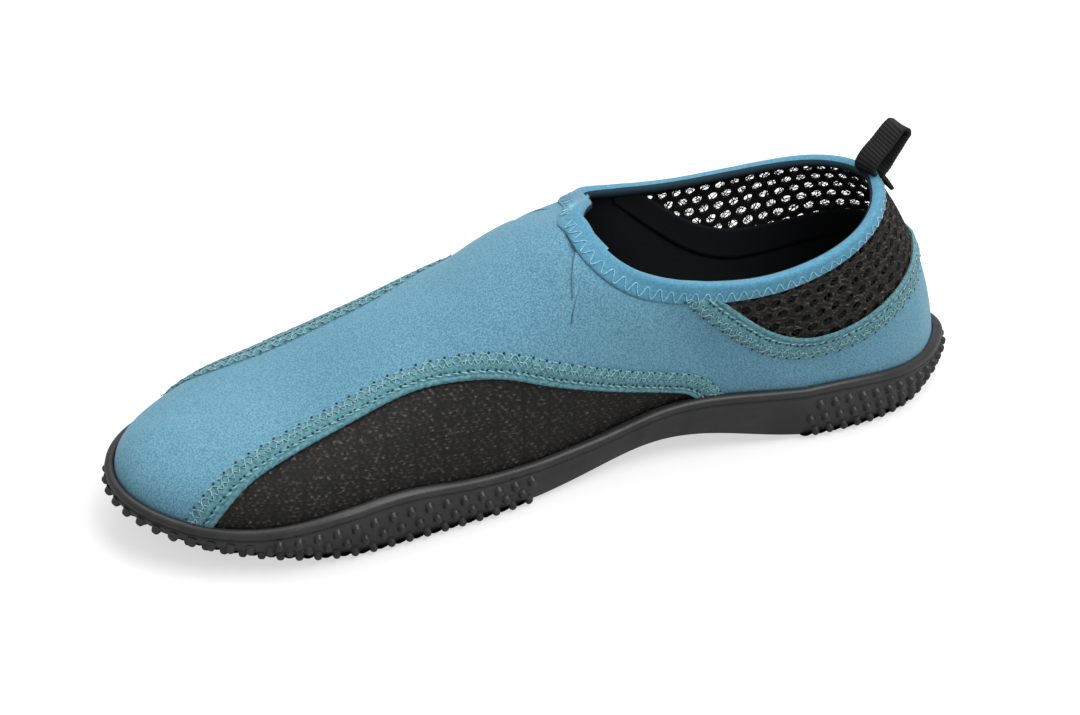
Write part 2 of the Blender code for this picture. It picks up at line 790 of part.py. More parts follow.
def add_lug(bm, corners):
    """A block on the ground side of a cell, as deep as the studs are high."""
    middle = sum((corner.co for corner in corners), corners[0].co * 0) / 4
    top = []
    for corner in corners:
        place = middle.lerp(corner.co, LUG_TAPER)
        place.z = float(underside(place.x)) - STUD_HEIGHT
        top.append(bm.verts.new(place))
    for k in range(4):
        m = (k + 1) % 4
        bm.faces.new((corners[k], corners[m], top[m], top[k]))
    bm.faces.new(top)


def make_loop():
    """Webbing folded into a loop over the back of the collar, with its outer leg sewn down behind it."""
    turn = np.zeros(1)
    rise = collar_rise(turn)
    top, normal = skin(turn, rise)[0], skin_normal(turn, rise)[0]
    climb = np.cross([0, 1, 0], normal)
    up, back = np.array([0, 0, 1.0]), np.array([-1.0, 0, 0])
    lean = math.cos(LOOP_LEAN) * up + math.sin(LOOP_LEAN) * back
    away = math.cos(LOOP_LEAN) * back - math.sin(LOOP_LEAN) * up
    half = WEBBING / 2
    radius = LOOP_GAP / 2 + half
    foot = top - WALL / 2 * normal + (3 * GAP + BINDING) * climb
    knee = foot + LOOP_KNEE * (climb + up) / 2
    centre = knee + lean * (LOOP_HEIGHT - LOOP_KNEE - radius) + away * radius
    path = [foot, foot + LOOP_KNEE / 2 * climb, knee, (knee + centre - away * radius) / 2]
    for k in range(LOOP_STEPS + 1):
        angle = math.pi * k / LOOP_STEPS
        path.append(centre + radius * (math.sin(angle) * lean - math.cos(angle) * away))
    path.append(centre + radius * away - lean * (LOOP_HEIGHT - LOOP_KNEE - radius) / 2)
    step = rise_per_metre(turn, rise)
    for down in np.linspace(0, LOOP_TAB, 5):
        low = rise - down * step
        out = 4 * GAP + BINDING + half
        path.append((skin(turn, low) + out * skin_normal(turn, low))[0])
    return path


def add_strap(name, path, width, thickness, twist, finish):
    """A flat strap along a path, whose width turns from the given twist at its start to none at its end."""
    path = np.array(path)
    run = np.gradient(path, axis=0)
    run /= np.linalg.norm(run, axis=-1, keepdims=True)
    rings = []
    for k, (place, way) in enumerate(zip(path, run)):
        angle = twist * min(1, 2 * (1 - k / (len(path) - 1)))
        wide = np.array([-math.sin(angle), math.cos(angle), 0])
        wide -= way * wide.dot(way)
        wide /= np.linalg.norm(wide)
        thick = np.cross(way, wide)
        rings.append([place + a * wide * width / 2 + b * thick * thickness / 2
                      for a, b in ((-1, -1), (1, -1), (1, 1), (-1, 1))])
    return add_tube(name, rings, finish, closed=False)


def seam_turns(rise, start, end):
    return even_turns(lambda turn: skin(turn, rise(turn)), start, end, SEAM_STEPS)


def main():
    for old in list(bpy.data.objects):
        bpy.data.objects.remove(old, do_unlink=True)
    collar, rises = collar_line()
    vamp = even_turns(base_line, collar[-1], math.pi, VAMP_STEPS)
    tops = both_sides(np.concatenate([collar, vamp[1:]]))
    heights = mirrored(np.concatenate([rises, 1 + 0 * vamp[1:]]))
    # The collar's front runs nearly along the sections, so the columns from there on spread out under it
    spread = even_turns(base_line, collar[-THROAT_COLUMNS - 1], math.pi, VAMP_STEPS + THROAT_COLUMNS)
    turns = both_sides(np.concatenate([collar[:-THROAT_COLUMNS - 1], spread]))
    make_outsole()
    make_insole(turns)
    make_upper(turns, tops, heights)
    make_side_mesh("mesh_side_medial", turns[turns > 0])
    make_side_mesh("mesh_side_lateral", turns[turns < 0])
    make_heel_mesh(turns)
    ends = [math.acos(1 - 2 * row[0]) for row in (SIDE_SEAM[0], SIDE_SEAM[-1])]
    for name, start, end in (("medial", *ends), ("lateral", -ends[1], -ends[0])):
        line = seam_turns(side_seam, start, end)
        make_seam("seam_side_" + name, line, side_seam(line), sole_rise, lambda turn: 1)
    end = math.acos(1 - 2 * HEEL_SEAM[-1][0])
    line = seam_turns(heel_seam, -end, end)
    make_seam("seam_heel", line, heel_seam(line), lambda turn: 0, under_binding)
    bound = heights < 1
    bound[np.argmax(bound) - 1] = True
    make_binding(tops[bound], heights[bound])
    add_strap("pull_loop", make_loop(), LOOP_WIDTH, WEBBING, LOOP_TWIST, WEBBING_BLACK)


def under_binding(turn):
    """Rise just under the binding's lower edge."""
    rise = collar_rise(turn)
    return rise - (BINDING_DEPTH + 2 * GAP) * rise_per_metre(turn, rise)


main()
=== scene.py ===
"""Looks of the water shoe for the right foot, seen from its inner side as in the photograph.

The cloth lies on the same skin as the part's own solids, so the shape functions and tables are the part's.
Metres, +X to the toe, +Y to the inner side of the foot, +Z up. A turn goes round the foot, 0 at the heel and
pi at the toe, above 0 on the inner side. A rise goes up the upper, 0 on the sole's floor and 1 on the ridge.
"""

import json
import math

import bmesh
import bpy
import numpy as np
from mathutils import Matrix, Vector

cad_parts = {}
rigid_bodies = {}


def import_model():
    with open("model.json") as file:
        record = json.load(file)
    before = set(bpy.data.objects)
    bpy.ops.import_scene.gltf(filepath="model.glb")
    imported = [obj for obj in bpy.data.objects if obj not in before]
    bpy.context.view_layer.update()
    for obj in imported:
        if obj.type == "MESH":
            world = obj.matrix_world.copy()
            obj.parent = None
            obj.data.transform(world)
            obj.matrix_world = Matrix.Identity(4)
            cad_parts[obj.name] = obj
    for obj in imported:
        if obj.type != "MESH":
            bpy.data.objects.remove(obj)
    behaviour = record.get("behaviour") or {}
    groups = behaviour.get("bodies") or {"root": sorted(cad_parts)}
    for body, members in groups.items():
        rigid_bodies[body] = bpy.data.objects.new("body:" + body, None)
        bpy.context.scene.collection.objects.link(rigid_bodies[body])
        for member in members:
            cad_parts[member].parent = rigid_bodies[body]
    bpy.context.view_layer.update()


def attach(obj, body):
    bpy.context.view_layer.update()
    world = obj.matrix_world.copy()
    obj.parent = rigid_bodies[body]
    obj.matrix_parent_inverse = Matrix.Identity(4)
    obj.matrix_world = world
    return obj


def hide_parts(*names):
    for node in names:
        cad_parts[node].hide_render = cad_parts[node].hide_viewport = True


MM = 0.001

# The last and the sole, as in the part
LENGTH = 278 * MM
BALL_WIDTH = 94 * MM
INSTEP_HEIGHT = 80 * MM
TOE_BEND = 6 * MM
SIDEWAYS = 1.2 * MM
HEEL_REACH = 52 * MM
TOE_REACH = 35 * MM
FAN = 0.6
THROAT = 0.4705
BEND_START = 0.65
STUD_HEIGHT = 1.5 * MM
SOLE_BASE = 4 * MM
SOLE_SIDE = 16 * MM
SOLE_WALL = 3.4 * MM
TUCK = 0.22
LIP_HEIGHT = 3 * MM
WALL_INSET = 1.2 * MM
BOTTOM_INSET = 3.4 * MM
ARCH_RISE = 6.8 * MM
GROUND_FLAT = 0.3 * MM
TOE_SPRING = 11 * MM
HEEL_ZONE = 0.235
FORE_ZONE = 0.555

# Cloth, seams, tape and webbing, as in the part
GAP = 0.3 * MM
WALL = 2.5 * MM
MESH_THICKNESS = 1.6 * MM
MESH_SINK = 0.2 * MM
SEAM_WIDTH = 7 * MM
BINDING = 1.0 * MM
LOOP_HEIGHT = 16 * MM
LOOP_KNEE = 4 * MM
LOOP_LEAN = math.radians(38)
LOOP_STEPS = 8
WEBBING = 1.3 * MM
FRONT_BLEND = 0.06
COLLAR_SMOOTHING = 4 * MM
SLIDE_STEPS = 4

# Steps of the collar's line: its side, its front, and both together
SIDE_CUTS = 600
FRONT_CUTS = 100
COLLAR_CUTS = 400
# The columns of the upper fan out below this length of the collar's front
THROAT_SPREAD = 44 * MM
VAMP_LENGTH = 155 * MM

# Studio: strength of the even surround, and what the floor gives back, glows to the camera and reaches
SURROUND = 0.42
FLOOR_TONE = "#BCBCBC"
FLOOR_GLOW = 0.6
FLOOR_REACH = 6.0
FLOOR_DROP = 0.3 * MM
LAMPS = (
    # name, place, size, power
    ("key_lamp", (-0.3, 0.35, 0.9), 0.7, 5.8),
    ("top_lamp", (-0.15, -0.35, 1.0), 0.9, 5.2),
)

OUTLINE = (
    # along, inner side, outer side as shares of BALL_WIDTH
    (0.00, 0.000, 0.000),
    (0.02, 0.126, 0.138),
    (0.06, 0.240, 0.245),
    (0.12, 0.320, 0.325),
    (0.20, 0.345, 0.365),
    (0.30, 0.330, 0.390),
    (0.40, 0.315, 0.415),
    (0.50, 0.355, 0.445),
    (0.60, 0.420, 0.485),
    (0.70, 0.463, 0.515),
    (0.80, 0.476, 0.500),
    (0.88, 0.413, 0.420),
    (0.94, 0.309, 0.312),
    (0.98, 0.184, 0.192),
    (1.00, 0.000, 0.000),
)
UNDERSIDE = (
    # along, arch as a share of ARCH_RISE, spring as a share of TOE_SPRING
    (0.00, 0.00, 0.10),
    (0.12, 0.00, 0.00),
    (0.22, 0.00, 0.00),
    (0.34, 0.90, 0.00),
    (0.41, 0.98, 0.00),
    (0.48, 0.42, 0.00),
    (0.55, 0.04, 0.00),
    (0.62, 0.00, 0.00),
    (0.74, 0.00, 0.00),
    (0.82, 0.00, 0.22),
    (0.92, 0.00, 0.55),
    (1.00, 0.00, 1.00),
)
SIDE = (
    # along, height of the sole's side as a share of SOLE_SIDE, lean of its side as a share of BOTTOM_INSET
    (0.00, 0.80, 1.30),
    (0.10, 1.06, 1.10),
    (0.20, 1.19, 1.00),
    (0.30, 1.02, 1.00),
    (0.38, 0.83, 1.00),
    (0.45, 0.75, 1.00),
    (0.52, 0.85, 1.00),
    (0.58, 0.91, 1.00),
    (0.64, 1.01, 1.05),
    (0.70, 1.14, 1.10),
    (0.76, 1.08, 1.20),
    (0.84, 0.74, 1.50),
    (0.92, 0.56, 1.75),
    (1.00, 0.52, 1.80),
)
CREST = (
    # along, ridge of the last as a share of INSTEP_HEIGHT, its shift to the inner side as a share of
    # BALL_WIDTH
    (0.10, 1.020, -0.005),
    (0.30, 1.200, 0.005),
    (0.46, 1.005, 0.006),
    (0.55, 0.860, 0.015),
    (0.65, 0.670, 0.025),
    (0.72, 0.570, 0.032),
    (0.80, 0.470, 0.042),
    (0.88, 0.415, 0.055),
)
SECTION = (
    # along, upright part of a section as a share of its height, level part as a share of its half width,
    # swell of its side as a share of BALL_WIDTH
    (0.00, 0.46, 0.30, -0.058),
    (0.30, 0.60, 1.05, 0.160),
    (0.60, 0.55, 0.75, 0.055),
    (0.80, 0.55, 0.75, 0.028),
    (1.00, 0.60, 0.65, 0.020),
)
COLLAR = (
    # along, height of the collar's edge as a share of INSTEP_HEIGHT
    (0.10, 0.975),
    (0.20, 0.848),
    (0.26, 0.800),
    (0.32, 0.780),
    (0.37, 0.790),
    (0.41, 0.820),
)
COLLAR_FRONT = (
    # turn, rise of the collar's front from the end of COLLAR round to the ridge
    (1.333, 0.468),
    (1.388, 0.532),
    (1.430, 0.612),
    (1.456, 0.705),
    (1.466, 0.795),
    (1.461, 0.872),
    (1.448, 0.940),
    (1.442, 1.000),
)
SIDE_SEAM = (
    # along, rise on the inner side, rise on the outer side
    (0.320, 0.00, 0.00),
    (0.353, 0.10, 0.10),
    (0.384, 0.14, 0.14),
    (0.436, 0.21, 0.21),
    (0.486, 0.305, 0.305),
    (0.533, 0.41, 0.41),
    (0.578, 0.53, 0.53),
    (0.624, 0.63, 0.63),
    (0.671, 0.70, 0.70),
    (0.746, 0.72, 0.72),
    (0.827, 0.68, 0.68),
    (0.865, 0.61, 0.61),
    (0.893, 0.49, 0.49),
    (0.909, 0.34, 0.34),
    (0.921, 0.18, 0.18),
    (0.932, 0.00, 0.00),
)
HEEL_SEAM = (
    # along, rise as a share of the collar's
    (0.00, 0.550),
    (0.10, 0.515),
    (0.20, 0.455),
    (0.25, 0.480),
    (0.30, 0.600),
    (0.33, 0.730),
    (0.355, 0.860),
    (0.38, 1.030),
)

# Where the photograph was taken from
CAMERA_TURN = math.radians(19.8)
CAMERA_LIFT = math.radians(35.2)
CAMERA_ROLL = math.radians(1.4)
CAMERA_DISTANCE = 628 * MM
CAMERA_LENS = 67.8
CAMERA_SLIDE = (-2.3 * MM, -1.9 * MM)
AIM_HEIGHT = 30 * MM

# How finely the soft and moulded forms are cut
CLOTH_STEP = 1.3 * MM
UPPER_STEPS = 72
KNIT_STEP = 0.62 * MM
SOLE_STEP = 1.6 * MM
TAPE_STEP = 0.9 * MM

# Thread and stitches
THREAD = 0.2 * MM
ZIGZAG_PITCH = 4.1 * MM
BINDING_PITCH = 3.6 * MM
CHAIN_PITCH = 2.6 * MM
NEEDLE_HOLE = 0.32 * MM
SEAM_ZIGZAGS = (
    # lowest and highest place across the seam in mm, pitch, share of THREAD
    (1.5, 3.4, ZIGZAG_PITCH, 1.0),
    (0.5, 1.7, ZIGZAG_PITCH / 2, 0.85),
)
# Dark dots of painted shade where the needle holes lie
SEAM_HOLES = (
    # shift along the seam as a share of ZIGZAG_PITCH, place across it in mm
    (0.75, 3.6),
    (0.25, -1.25),
    (0.88, -1.25),
)
# Radius of a seam's rolled edge, and how high its band stands
RIM = 0.85 * MM
BAND_HEIGHT = 0.9 * MM
SEAM_DASHES = (
    # pitch, length as a share of it, lean, shift along the seam, place across it, height, share of THREAD
    (CHAIN_PITCH, 0.72, 0.45 * MM, 0.0, -1.75 * MM, BAND_HEIGHT, 1.35),
    (ZIGZAG_PITCH, 0.16, 0.2 * MM, 0.17 * ZIGZAG_PITCH, 3.45 * MM, 0.5 * MM, 1.7),
)
# How wide the binding lies on the cloth, in mm, before the heel narrows it
BINDING_LOW = 7.2
# From here inwards, in mm, the folded binding is coloured dark: painted shade inside the collar
FOLD_SHADE_START = -1.2
# How far down from the collar the binding hides what lies under it
BINDING_COVER = 3.3 * MM
# The inner tape, below and above the heel seam
INSIDE_TAPE = (4.5 * MM, 7.0 * MM)
# Turn, share of the binding's full width: it is pulled narrower round the heel
BINDING_WIDTH = (
    (0.8, 0.46),
    (1.15, 0.66),
    (1.4, 0.88),
)
# Lowest and highest place of the binding's zigzag, and how far out of the skin it lies
BINDING_ZIGZAG = (2.8 * MM, 6.4 * MM, 0.84 * MM)
BINDING_PROFILE = (
    # out, down in mm
    (0.05, BINDING_LOW), (0.40, BINDING_LOW), (0.62, 6.7), (0.70, 5.0), (0.75, 3.0), (0.85, 1.4),
    (0.85, 0.3), (0.6, -0.45), (0.1, -0.85), (-0.8, -1.0), (-1.7, -1.0), (-2.5, -0.8), (-3.0, -0.4),
    (-3.2, 0.3), (-3.2, 1.0), (-3.15, 1.6), (-2.95, 2.0), (-2.6, 2.0), (-2.55, 1.2), (-2.52, 0.3),
    (-1.2, 0.0), (0.05, 0.2), (0.05, 3.0),
)
# The stretched collar holds the opening's outer front corner further back than its mirror image
PULL_PLACE = (-1.466, 0.80)
PULL = (-6.0 * MM, 3.0 * MM, -1.0 * MM)
PULL_WIDTH = 13 * MM

# Knitted panels: pitch of the ribs, width and height of a loop, and how deep its holes are
RIB_PITCH = 8.6 * MM
LOOP_PITCH = (2.1 * MM, 1.7 * MM)
LOOP_RELIEF = 0.34 * MM
KNIT_HEIGHT = 48 * MM
NET_PITCH = 5.0 * MM
# Rows of the net's cells, cells each way from its middle, room that they leave at its ends, and the lowest
# panel that has any
NET_ROWS = 14
NET_COLUMNS = 24
NET_END = 6 * MM
NET_LEAST = 4 * MM
NET_HOLE = 0.60
NET_THICKNESS = 1.1 * MM
NET_WOBBLE = 0.22
NET_HAIRS = 7
NET_HAIR = 0.14 * MM
NET_PROFILE = (
    # share of the way from a cell's edge to its hole, depth as a share of NET_THICKNESS
    (0.0, 0.55), (0.45, 0.0), (0.8, 0.12), (1.0, 0.5), (0.8, 0.88), (0.45, 1.0), (0.0, 0.75),
)

# The photographed webbing is pressed flatter than the solid
LOOP_GAP = 1.7 * MM
# It stands higher and twists more than the solid, which the looks may do by a few millimetres
LOOP_SHIFT = (-1.6 * MM, 0.0, 3.0 * MM)
LOOP_TURN = math.radians(26)
LOOP_END = 7 * MM
LOOP_BREADTH = 8 * MM
WEBBING_RIBS = 1.15 * MM
WEBBING_PROFILE = (
    # places round the webbing as shares of its half breadth and half thickness
    (-1, -0.4), (-0.97, -0.85), (-0.9, -1), (-0.3, -1), (0.3, -1), (0.9, -1), (0.97, -0.85), (1, -0.4),
    (1, 0.4), (0.97, 0.85), (0.9, 1), (0.3, 1), (-0.3, 1), (-0.9, 1), (-0.97, 0.85), (-1, 0.4),
)

# Side wall of the sole: heights of its rows, places of its mould lines along the shoe, and rows of its lip as
# shares of the way in to the cup and of LIP_HEIGHT
WALL_ROWS = (0.012, 0.05, 0.11, 0.18, 0.26, 0.35, 0.45, 0.56, 0.68, 0.8, 0.9, 0.965)
MOULD_LINES = (0.34, 0.375, 0.41, 0.435, 0.47)
MOULD_DEPTH = 0.25 * MM
GROOVE = 0.55 * MM
LIP_ROWS = (
    (0.02, 0.16), (-0.04, 0.3), (-0.05, 0.45), (0.0, 0.62), (0.12, 0.8), (0.32, 0.93), (0.6, 1.0),
    (0.85, 1.0), (0.99, 0.92),
)

# Studs of the sole
STUD_PROFILE = (
    # share of the radius, share of the height
    (1.35, -0.15), (1.12, 0.06), (1.0, 0.28), (0.86, 0.66), (0.6, 0.92), (0.28, 1.0),
)
STUD_CROWN = 1.02
STUD_SIDES = 12
FORE_STUDS = 5.7 * MM
HEEL_STUDS = 5.0 * MM
STUD_RADII = (1.6 * MM, 1.3 * MM)
STUD_OUT = 1.6 * MM
# Heights of the lowest, middle and highest row on the wall, and of the middle row where the wall is low
STUD_SHARES = (0.07, 0.42, 0.77, 0.62)
# The wall is upright above this share of its height; where it is lower than LOW_WALL it has two rows of studs
WALL_BEND = 0.8
LOW_WALL = 7 * MM
BORDER_INSET = 1.8 * MM
TREAD_MARGIN = 9 * MM
TREAD_PITCH = 8.0 * MM
TREAD_RADIUS = 2.3 * MM

CREASES = (
    # side (1 inner, -1 outer), start along and rise, end along and rise, half width mm, depth mm
    (1, 0.43, 0.80, 0.36, 0.22, 9.0, 1.5),
    (1, 0.50, 0.90, 0.43, 0.45, 7.0, -0.7),
    (1, 0.36, 0.50, 0.22, 0.16, 8.0, 0.8),
    (1, 0.60, 0.95, 0.66, 0.78, 8.0, 0.5),
    (-1, 0.44, 0.80, 0.37, 0.25, 9.0, 1.3),
    (-1, 0.62, 0.90, 0.58, 0.60, 8.0, 0.7),
)


def spline(knots, values, at):
    """Natural cubic spline through the values, held level past its ends."""
    x, y = np.asarray(knots, float), np.asarray(values, float)
    at = np.clip(np.asarray(at, float), x[0], x[-1])
    gap = np.diff(x)
    matrix, right = np.zeros((len(x), len(x))), np.zeros(len(x))
    matrix[0, 0] = matrix[-1, -1] = 1
    for i in range(1, len(x) - 1):
        matrix[i, i - 1:i + 2] = gap[i - 1], 2 * (gap[i - 1] + gap[i]), gap[i]
        right[i] = 6 * ((y[i + 1] - y[i]) / gap[i] - (y[i] - y[i - 1]) / gap[i - 1])
    curve = np.linalg.solve(matrix, right)
    k = np.clip(np.searchsorted(x, at) - 1, 0, len(x) - 2)
    after, before, h = at - x[k], x[k + 1] - at, gap[k]
    return (
        (curve[k] * before**3 + curve[k + 1] * after**3) / (6 * h)
        + (y[k] / h - curve[k] * h / 6) * before
        + (y[k + 1] / h - curve[k + 1] * h / 6) * after
    )


def along(table, column, x):
    """A table's column read at x, where its rows say how far along the shoe they are."""
    return spline([row[0] for row in table], [row[column] for row in table], np.asarray(x) / LENGTH + 0.5)


def around(table, column, turn):
    """A table's column read at a turn, where its rows say how far along the outline they are."""
    knots = [turn_at(row[0]) for row in table]
    return spline(knots, [row[column] for row in table], np.abs(wrapped(turn)))


def travel(points):
    """How far along a row of points each one lies."""
    return np.concatenate([[0], np.cumsum(np.linalg.norm(np.diff(points, axis=0), axis=1))])


def turn_at(share):
    """Turn of the outline's point at a share of the shoe's length, on the inner side."""
    return math.acos(1 - 2 * share)


def wrapped(turn):
    """Turn round the foot from -pi to pi: 0 at the heel, pi at the toe, above 0 on the inner side."""
    return (np.asarray(turn, float) + math.pi) % (2 * math.pi) - math.pi


def outline(turn):
    """Plan of the sole, over its studs."""
    turn = wrapped(turn)
    x = -np.cos(turn) * LENGTH / 2
    half = np.where(turn > 0, around(OUTLINE, 1, turn), around(OUTLINE, 2, turn)) * BALL_WIDTH
    bend = SIDEWAYS + TOE_BEND * np.clip((x / LENGTH + 0.5 - BEND_START) / (1 - BEND_START), 0, 1) ** 2
    return np.stack([x, bend + np.sign(turn) * half], -1)


def outward(turn):
    """Level direction square to the outline."""
    step = 2e-3
    run = outline(turn + step) - outline(turn - step)
    run /= np.linalg.norm(run, axis=-1, keepdims=True)
    return np.stack([-run[..., 1], run[..., 0]], -1)


def inset(turn, distance):
    return outline(turn) - outward(turn) * np.broadcast_to(distance, np.shape(turn))[..., None]


def level(plan, height):
    """Plan points lifted to a height."""
    return np.concatenate([plan, np.broadcast_to(height, plan.shape[:-1])[..., None]], -1)


def underside(x):
    """Height of the sole's bottom between its studs."""
    rise = ARCH_RISE * along(UNDERSIDE, 1, x) + TOE_SPRING * along(UNDERSIDE, 2, x)
    return STUD_HEIGHT + np.maximum(rise - GROUND_FLAT, 0)


def sole_top(x):
    """Height of the sole's lip."""
    return underside(x) + SOLE_SIDE * along(SIDE, 1, x)


def sole_floor(x):
    return underside(x) + SOLE_BASE


def crest(turn):
    """Point of the last's ridge that each section climbs to, and the ridge's slope there."""
    x = -np.cos(turn) * LENGTH / 2
    back, front = x + LENGTH / 2, LENGTH / 2 - x
    x = x + HEEL_REACH * np.exp(-FAN * back / HEEL_REACH) - TOE_REACH * np.exp(-FAN * front / TOE_REACH)
    height = INSTEP_HEIGHT * along(CREST, 1, x)
    slope = INSTEP_HEIGHT * (along(CREST, 1, x + MM) - along(CREST, 1, x - MM)) / (2 * MM)
    return np.stack([x, SIDEWAYS + BALL_WIDTH * along(CREST, 2, x), height], -1), slope


def base_line(turn):
    """Lower edge of the upper, on the sole's floor."""
    x = outline(turn)[..., 0]
    tuck = TUCK * BALL_WIDTH * np.maximum(along(SECTION, 3, x), 0)
    plan = inset(turn, SOLE_WALL + GAP + tuck)
    return level(plan, sole_floor(plan[..., 0]) + GAP)


def skin(turn, rise):
    """Outer face of the upper, at a rise from 0 on the sole's floor to 1 on the last's ridge."""
    turn, rise = np.broadcast_arrays(np.asarray(turn, float), np.asarray(rise, float))
    low = base_line(turn)
    high, slope = crest(turn)
    side, top, bulge = (along(SECTION, k, low[..., 0]) for k in (1, 2, 3))
    handle_low = level(
        low[..., :2] + outward(turn) * (bulge * BALL_WIDTH)[..., None],
        low[..., 2] + side * (high[..., 2] - low[..., 2]),
    )
    reach = (low[..., :2] - high[..., :2]) * top[..., None]
    handle_high = level(high[..., :2] + reach, high[..., 2] + slope * reach[..., 0])
    r = rise[..., None]
    return (
        (1 - r) ** 3 * low
        + 3 * (1 - r) ** 2 * r * handle_low
        + 3 * (1 - r) * r**2 * handle_high
        + r**3 * high
    )


def skin_normal(turn, rise):
    """Direction out of the upper."""
    turn, rise = np.broadcast_arrays(np.asarray(turn, float), np.asarray(rise, float))
    step = 1e-3
    top = np.minimum(rise, 1 - 2 * step)
    round_foot = skin(turn + step, top) - skin(turn - step, top)
    up = skin(turn, top + step) - skin(turn, top - step)
    normal = np.cross(up, round_foot)
    ridge = np.stack([-crest(turn)[1], 0 * turn, 1 + 0 * turn], -1)
    normal = np.where((rise > 1 - 4 * step)[..., None], ridge, normal)
    return normal / np.linalg.norm(normal, axis=-1, keepdims=True)


def collar_height(x):
    """Side view of the collar, which meets the ridge at the throat."""
    throat = along(CREST, 1, (THROAT - 0.5) * LENGTH)
    rows = [*COLLAR, (THROAT, float(throat))]
    return INSTEP_HEIGHT * along(rows, 1, x)


def rise_where(turn, passed):
    """Lowest rise at which each section passes a test, or 1."""
    turn = np.asarray(turn, float)
    low, high = np.zeros(turn.shape), np.ones(turn.shape)
    for _ in range(30):
        middle = (low + high) / 2
        over = passed(skin(turn, middle))
        high = np.where(over, middle, high)
        low = np.where(over, low, middle)
    return high


def collar_rise(turn):
    throat = (THROAT - 0.5) * LENGTH
    return rise_where(turn, lambda p: (p[..., 2] > collar_height(p[..., 0])) & (p[..., 0] < throat))


def throat_turn():
    """Turn whose section ends at the throat."""
    low, high = 0.5, math.pi - 0.5
    for _ in range(40):
        middle = (low + high) / 2
        if crest(np.array(middle))[0][0] > (THROAT - 0.5) * LENGTH:
            high = middle
        else:
            low = middle
    return high


def even_turns(line, start, end, count):
    """Turns that cut a line round the foot into equal lengths."""
    fine = np.linspace(start, end, 600)
    travelled = travel(line(fine))
    return np.interp(np.linspace(0, travelled[-1], count + 1), travelled, fine)


def mirrored(values):
    return np.concatenate([values[:0:-1], values[:-1]])


def both_sides(turns):
    """Turns from heel to toe, mirrored into a full ring that starts at the toe."""
    return np.concatenate([-turns[:0:-1], turns[:-1]])


def side_seam(turn):
    """Rise of the side seam's middle; 0 where the panel has no side mesh."""
    turn = wrapped(turn)
    rise = np.where(turn > 0, around(SIDE_SEAM, 1, turn), around(SIDE_SEAM, 2, turn))
    return np.maximum(rise, 0)


def heel_seam(turn):
    """Rise of the heel seam's middle; the collar's own past the seam's ends."""
    return np.minimum(around(HEEL_SEAM, 1, turn), 1) * collar_rise(turn)


def rise_per_metre(turn, rise):
    step = 1e-3
    return step / np.linalg.norm(skin(turn, rise + step) - skin(turn, rise), axis=-1)


def slide(turn, rise, direction, distance):
    """Turn and rise of the point that lies a distance off in a direction along the skin."""
    step = 1e-3
    for _ in range(SLIDE_STEPS):
        round_foot = (skin(turn + step, rise) - skin(turn - step, rise)) / (2 * step)
        up = (skin(turn, rise) - skin(turn, rise - step)) / step
        aa, ab, bb = ((p * q).sum(-1) for p, q in ((round_foot, round_foot), (round_foot, up), (up, up)))
        ca, cb = ((p * direction).sum(-1) * distance / SLIDE_STEPS for p in (round_foot, up))
        area = aa * bb - ab * ab
        turn, rise = turn + (ca * bb - cb * ab) / area, rise + (cb * aa - ca * ab) / area
        over = rise > 1
        turn, rise = np.where(over, -turn, turn), np.where(over, 2 - rise, rise)
    return turn, rise


def across(turn, rise):
    """Direction along the skin and square to the line that the points follow."""
    points = skin(turn, rise)
    run = np.gradient(points, axis=0)
    side = np.cross(run, skin_normal(turn, rise))
    return side / np.linalg.norm(side, axis=-1, keepdims=True)


def collar_line(step):
    """Turns and rises of even steps along the collar, from the heel to its front and on to the ridge."""
    turn = np.linspace(0, COLLAR_FRONT[0][0] - FRONT_BLEND, SIDE_CUTS)
    rise = collar_rise(turn)
    travelled = travel(skin(*(np.array(column) for column in zip(*COLLAR_FRONT))))
    at = np.linspace(0, travelled[-1], FRONT_CUTS)
    turn = np.concatenate([turn, spline(travelled, [row[0] for row in COLLAR_FRONT], at)])
    rise = np.concatenate([rise, spline(travelled, [row[1] for row in COLLAR_FRONT], at)])
    travelled = travel(skin(turn, rise))
    total = travelled[-1]
    at = np.linspace(0, total, COLLAR_CUTS)
    turn, rise = np.interp(at, travelled, turn), np.interp(at, travelled, rise)
    # The line goes on over the ridge as its own mirror image, so that the smoothing keeps its end there
    past_turn, past_rise = np.concatenate([turn, turn[-2::-1]]), np.concatenate([rise, 2 - rise[-2::-1]])
    places = np.concatenate([at, 2 * total - at[-2::-1]])
    weight = np.exp(-0.5 * ((places[None, :] - at[:, None]) / COLLAR_SMOOTHING) ** 2)
    weight /= weight.sum(1, keepdims=True)
    front = np.clip((at - total / 2) / (total / 4), 0, 1)
    turn = turn + front * (weight @ past_turn - turn)
    rise = rise + front * (weight @ past_rise - rise)
    rise[-1] = 1
    steps = np.linspace(0, total, int(total / step) + 1)
    return np.interp(steps, at, turn), np.interp(steps, at, rise)


def unit(vectors):
    return vectors / np.linalg.norm(vectors, axis=-1, keepdims=True)


def crease_ends():
    """Start and end points of each crease on the skin, with its half width and depth."""
    found = []
    for side, along_a, rise_a, along_b, rise_b, width, depth in CREASES:
        a, b = (skin(side * turn_at(s), r) for s, r in ((along_a, rise_a), (along_b, rise_b)))
        found.append((a, b, width * MM, depth * MM))
    return found


def relief(points):
    """How far the soft creases lift the cloth at points of the skin."""
    lift = np.zeros(points.shape[:-1])
    for a, b, width, depth in crease_ends():
        way = b - a
        share = np.clip(((points - a) @ way) / (way @ way), 0, 1)
        away = np.linalg.norm(points - a - share[..., None] * way, axis=-1)
        lift -= depth * np.exp(-(away / width) ** 2)
    return lift


def pull(points):
    """How far the collar's pull moves points near the opening's outer front corner."""
    centre = skin(*(np.array([place]) for place in PULL_PLACE))[0]
    near = np.exp(-(np.linalg.norm(points - centre, axis=-1) / PULL_WIDTH) ** 2)
    return near[..., None] * np.array(PULL)


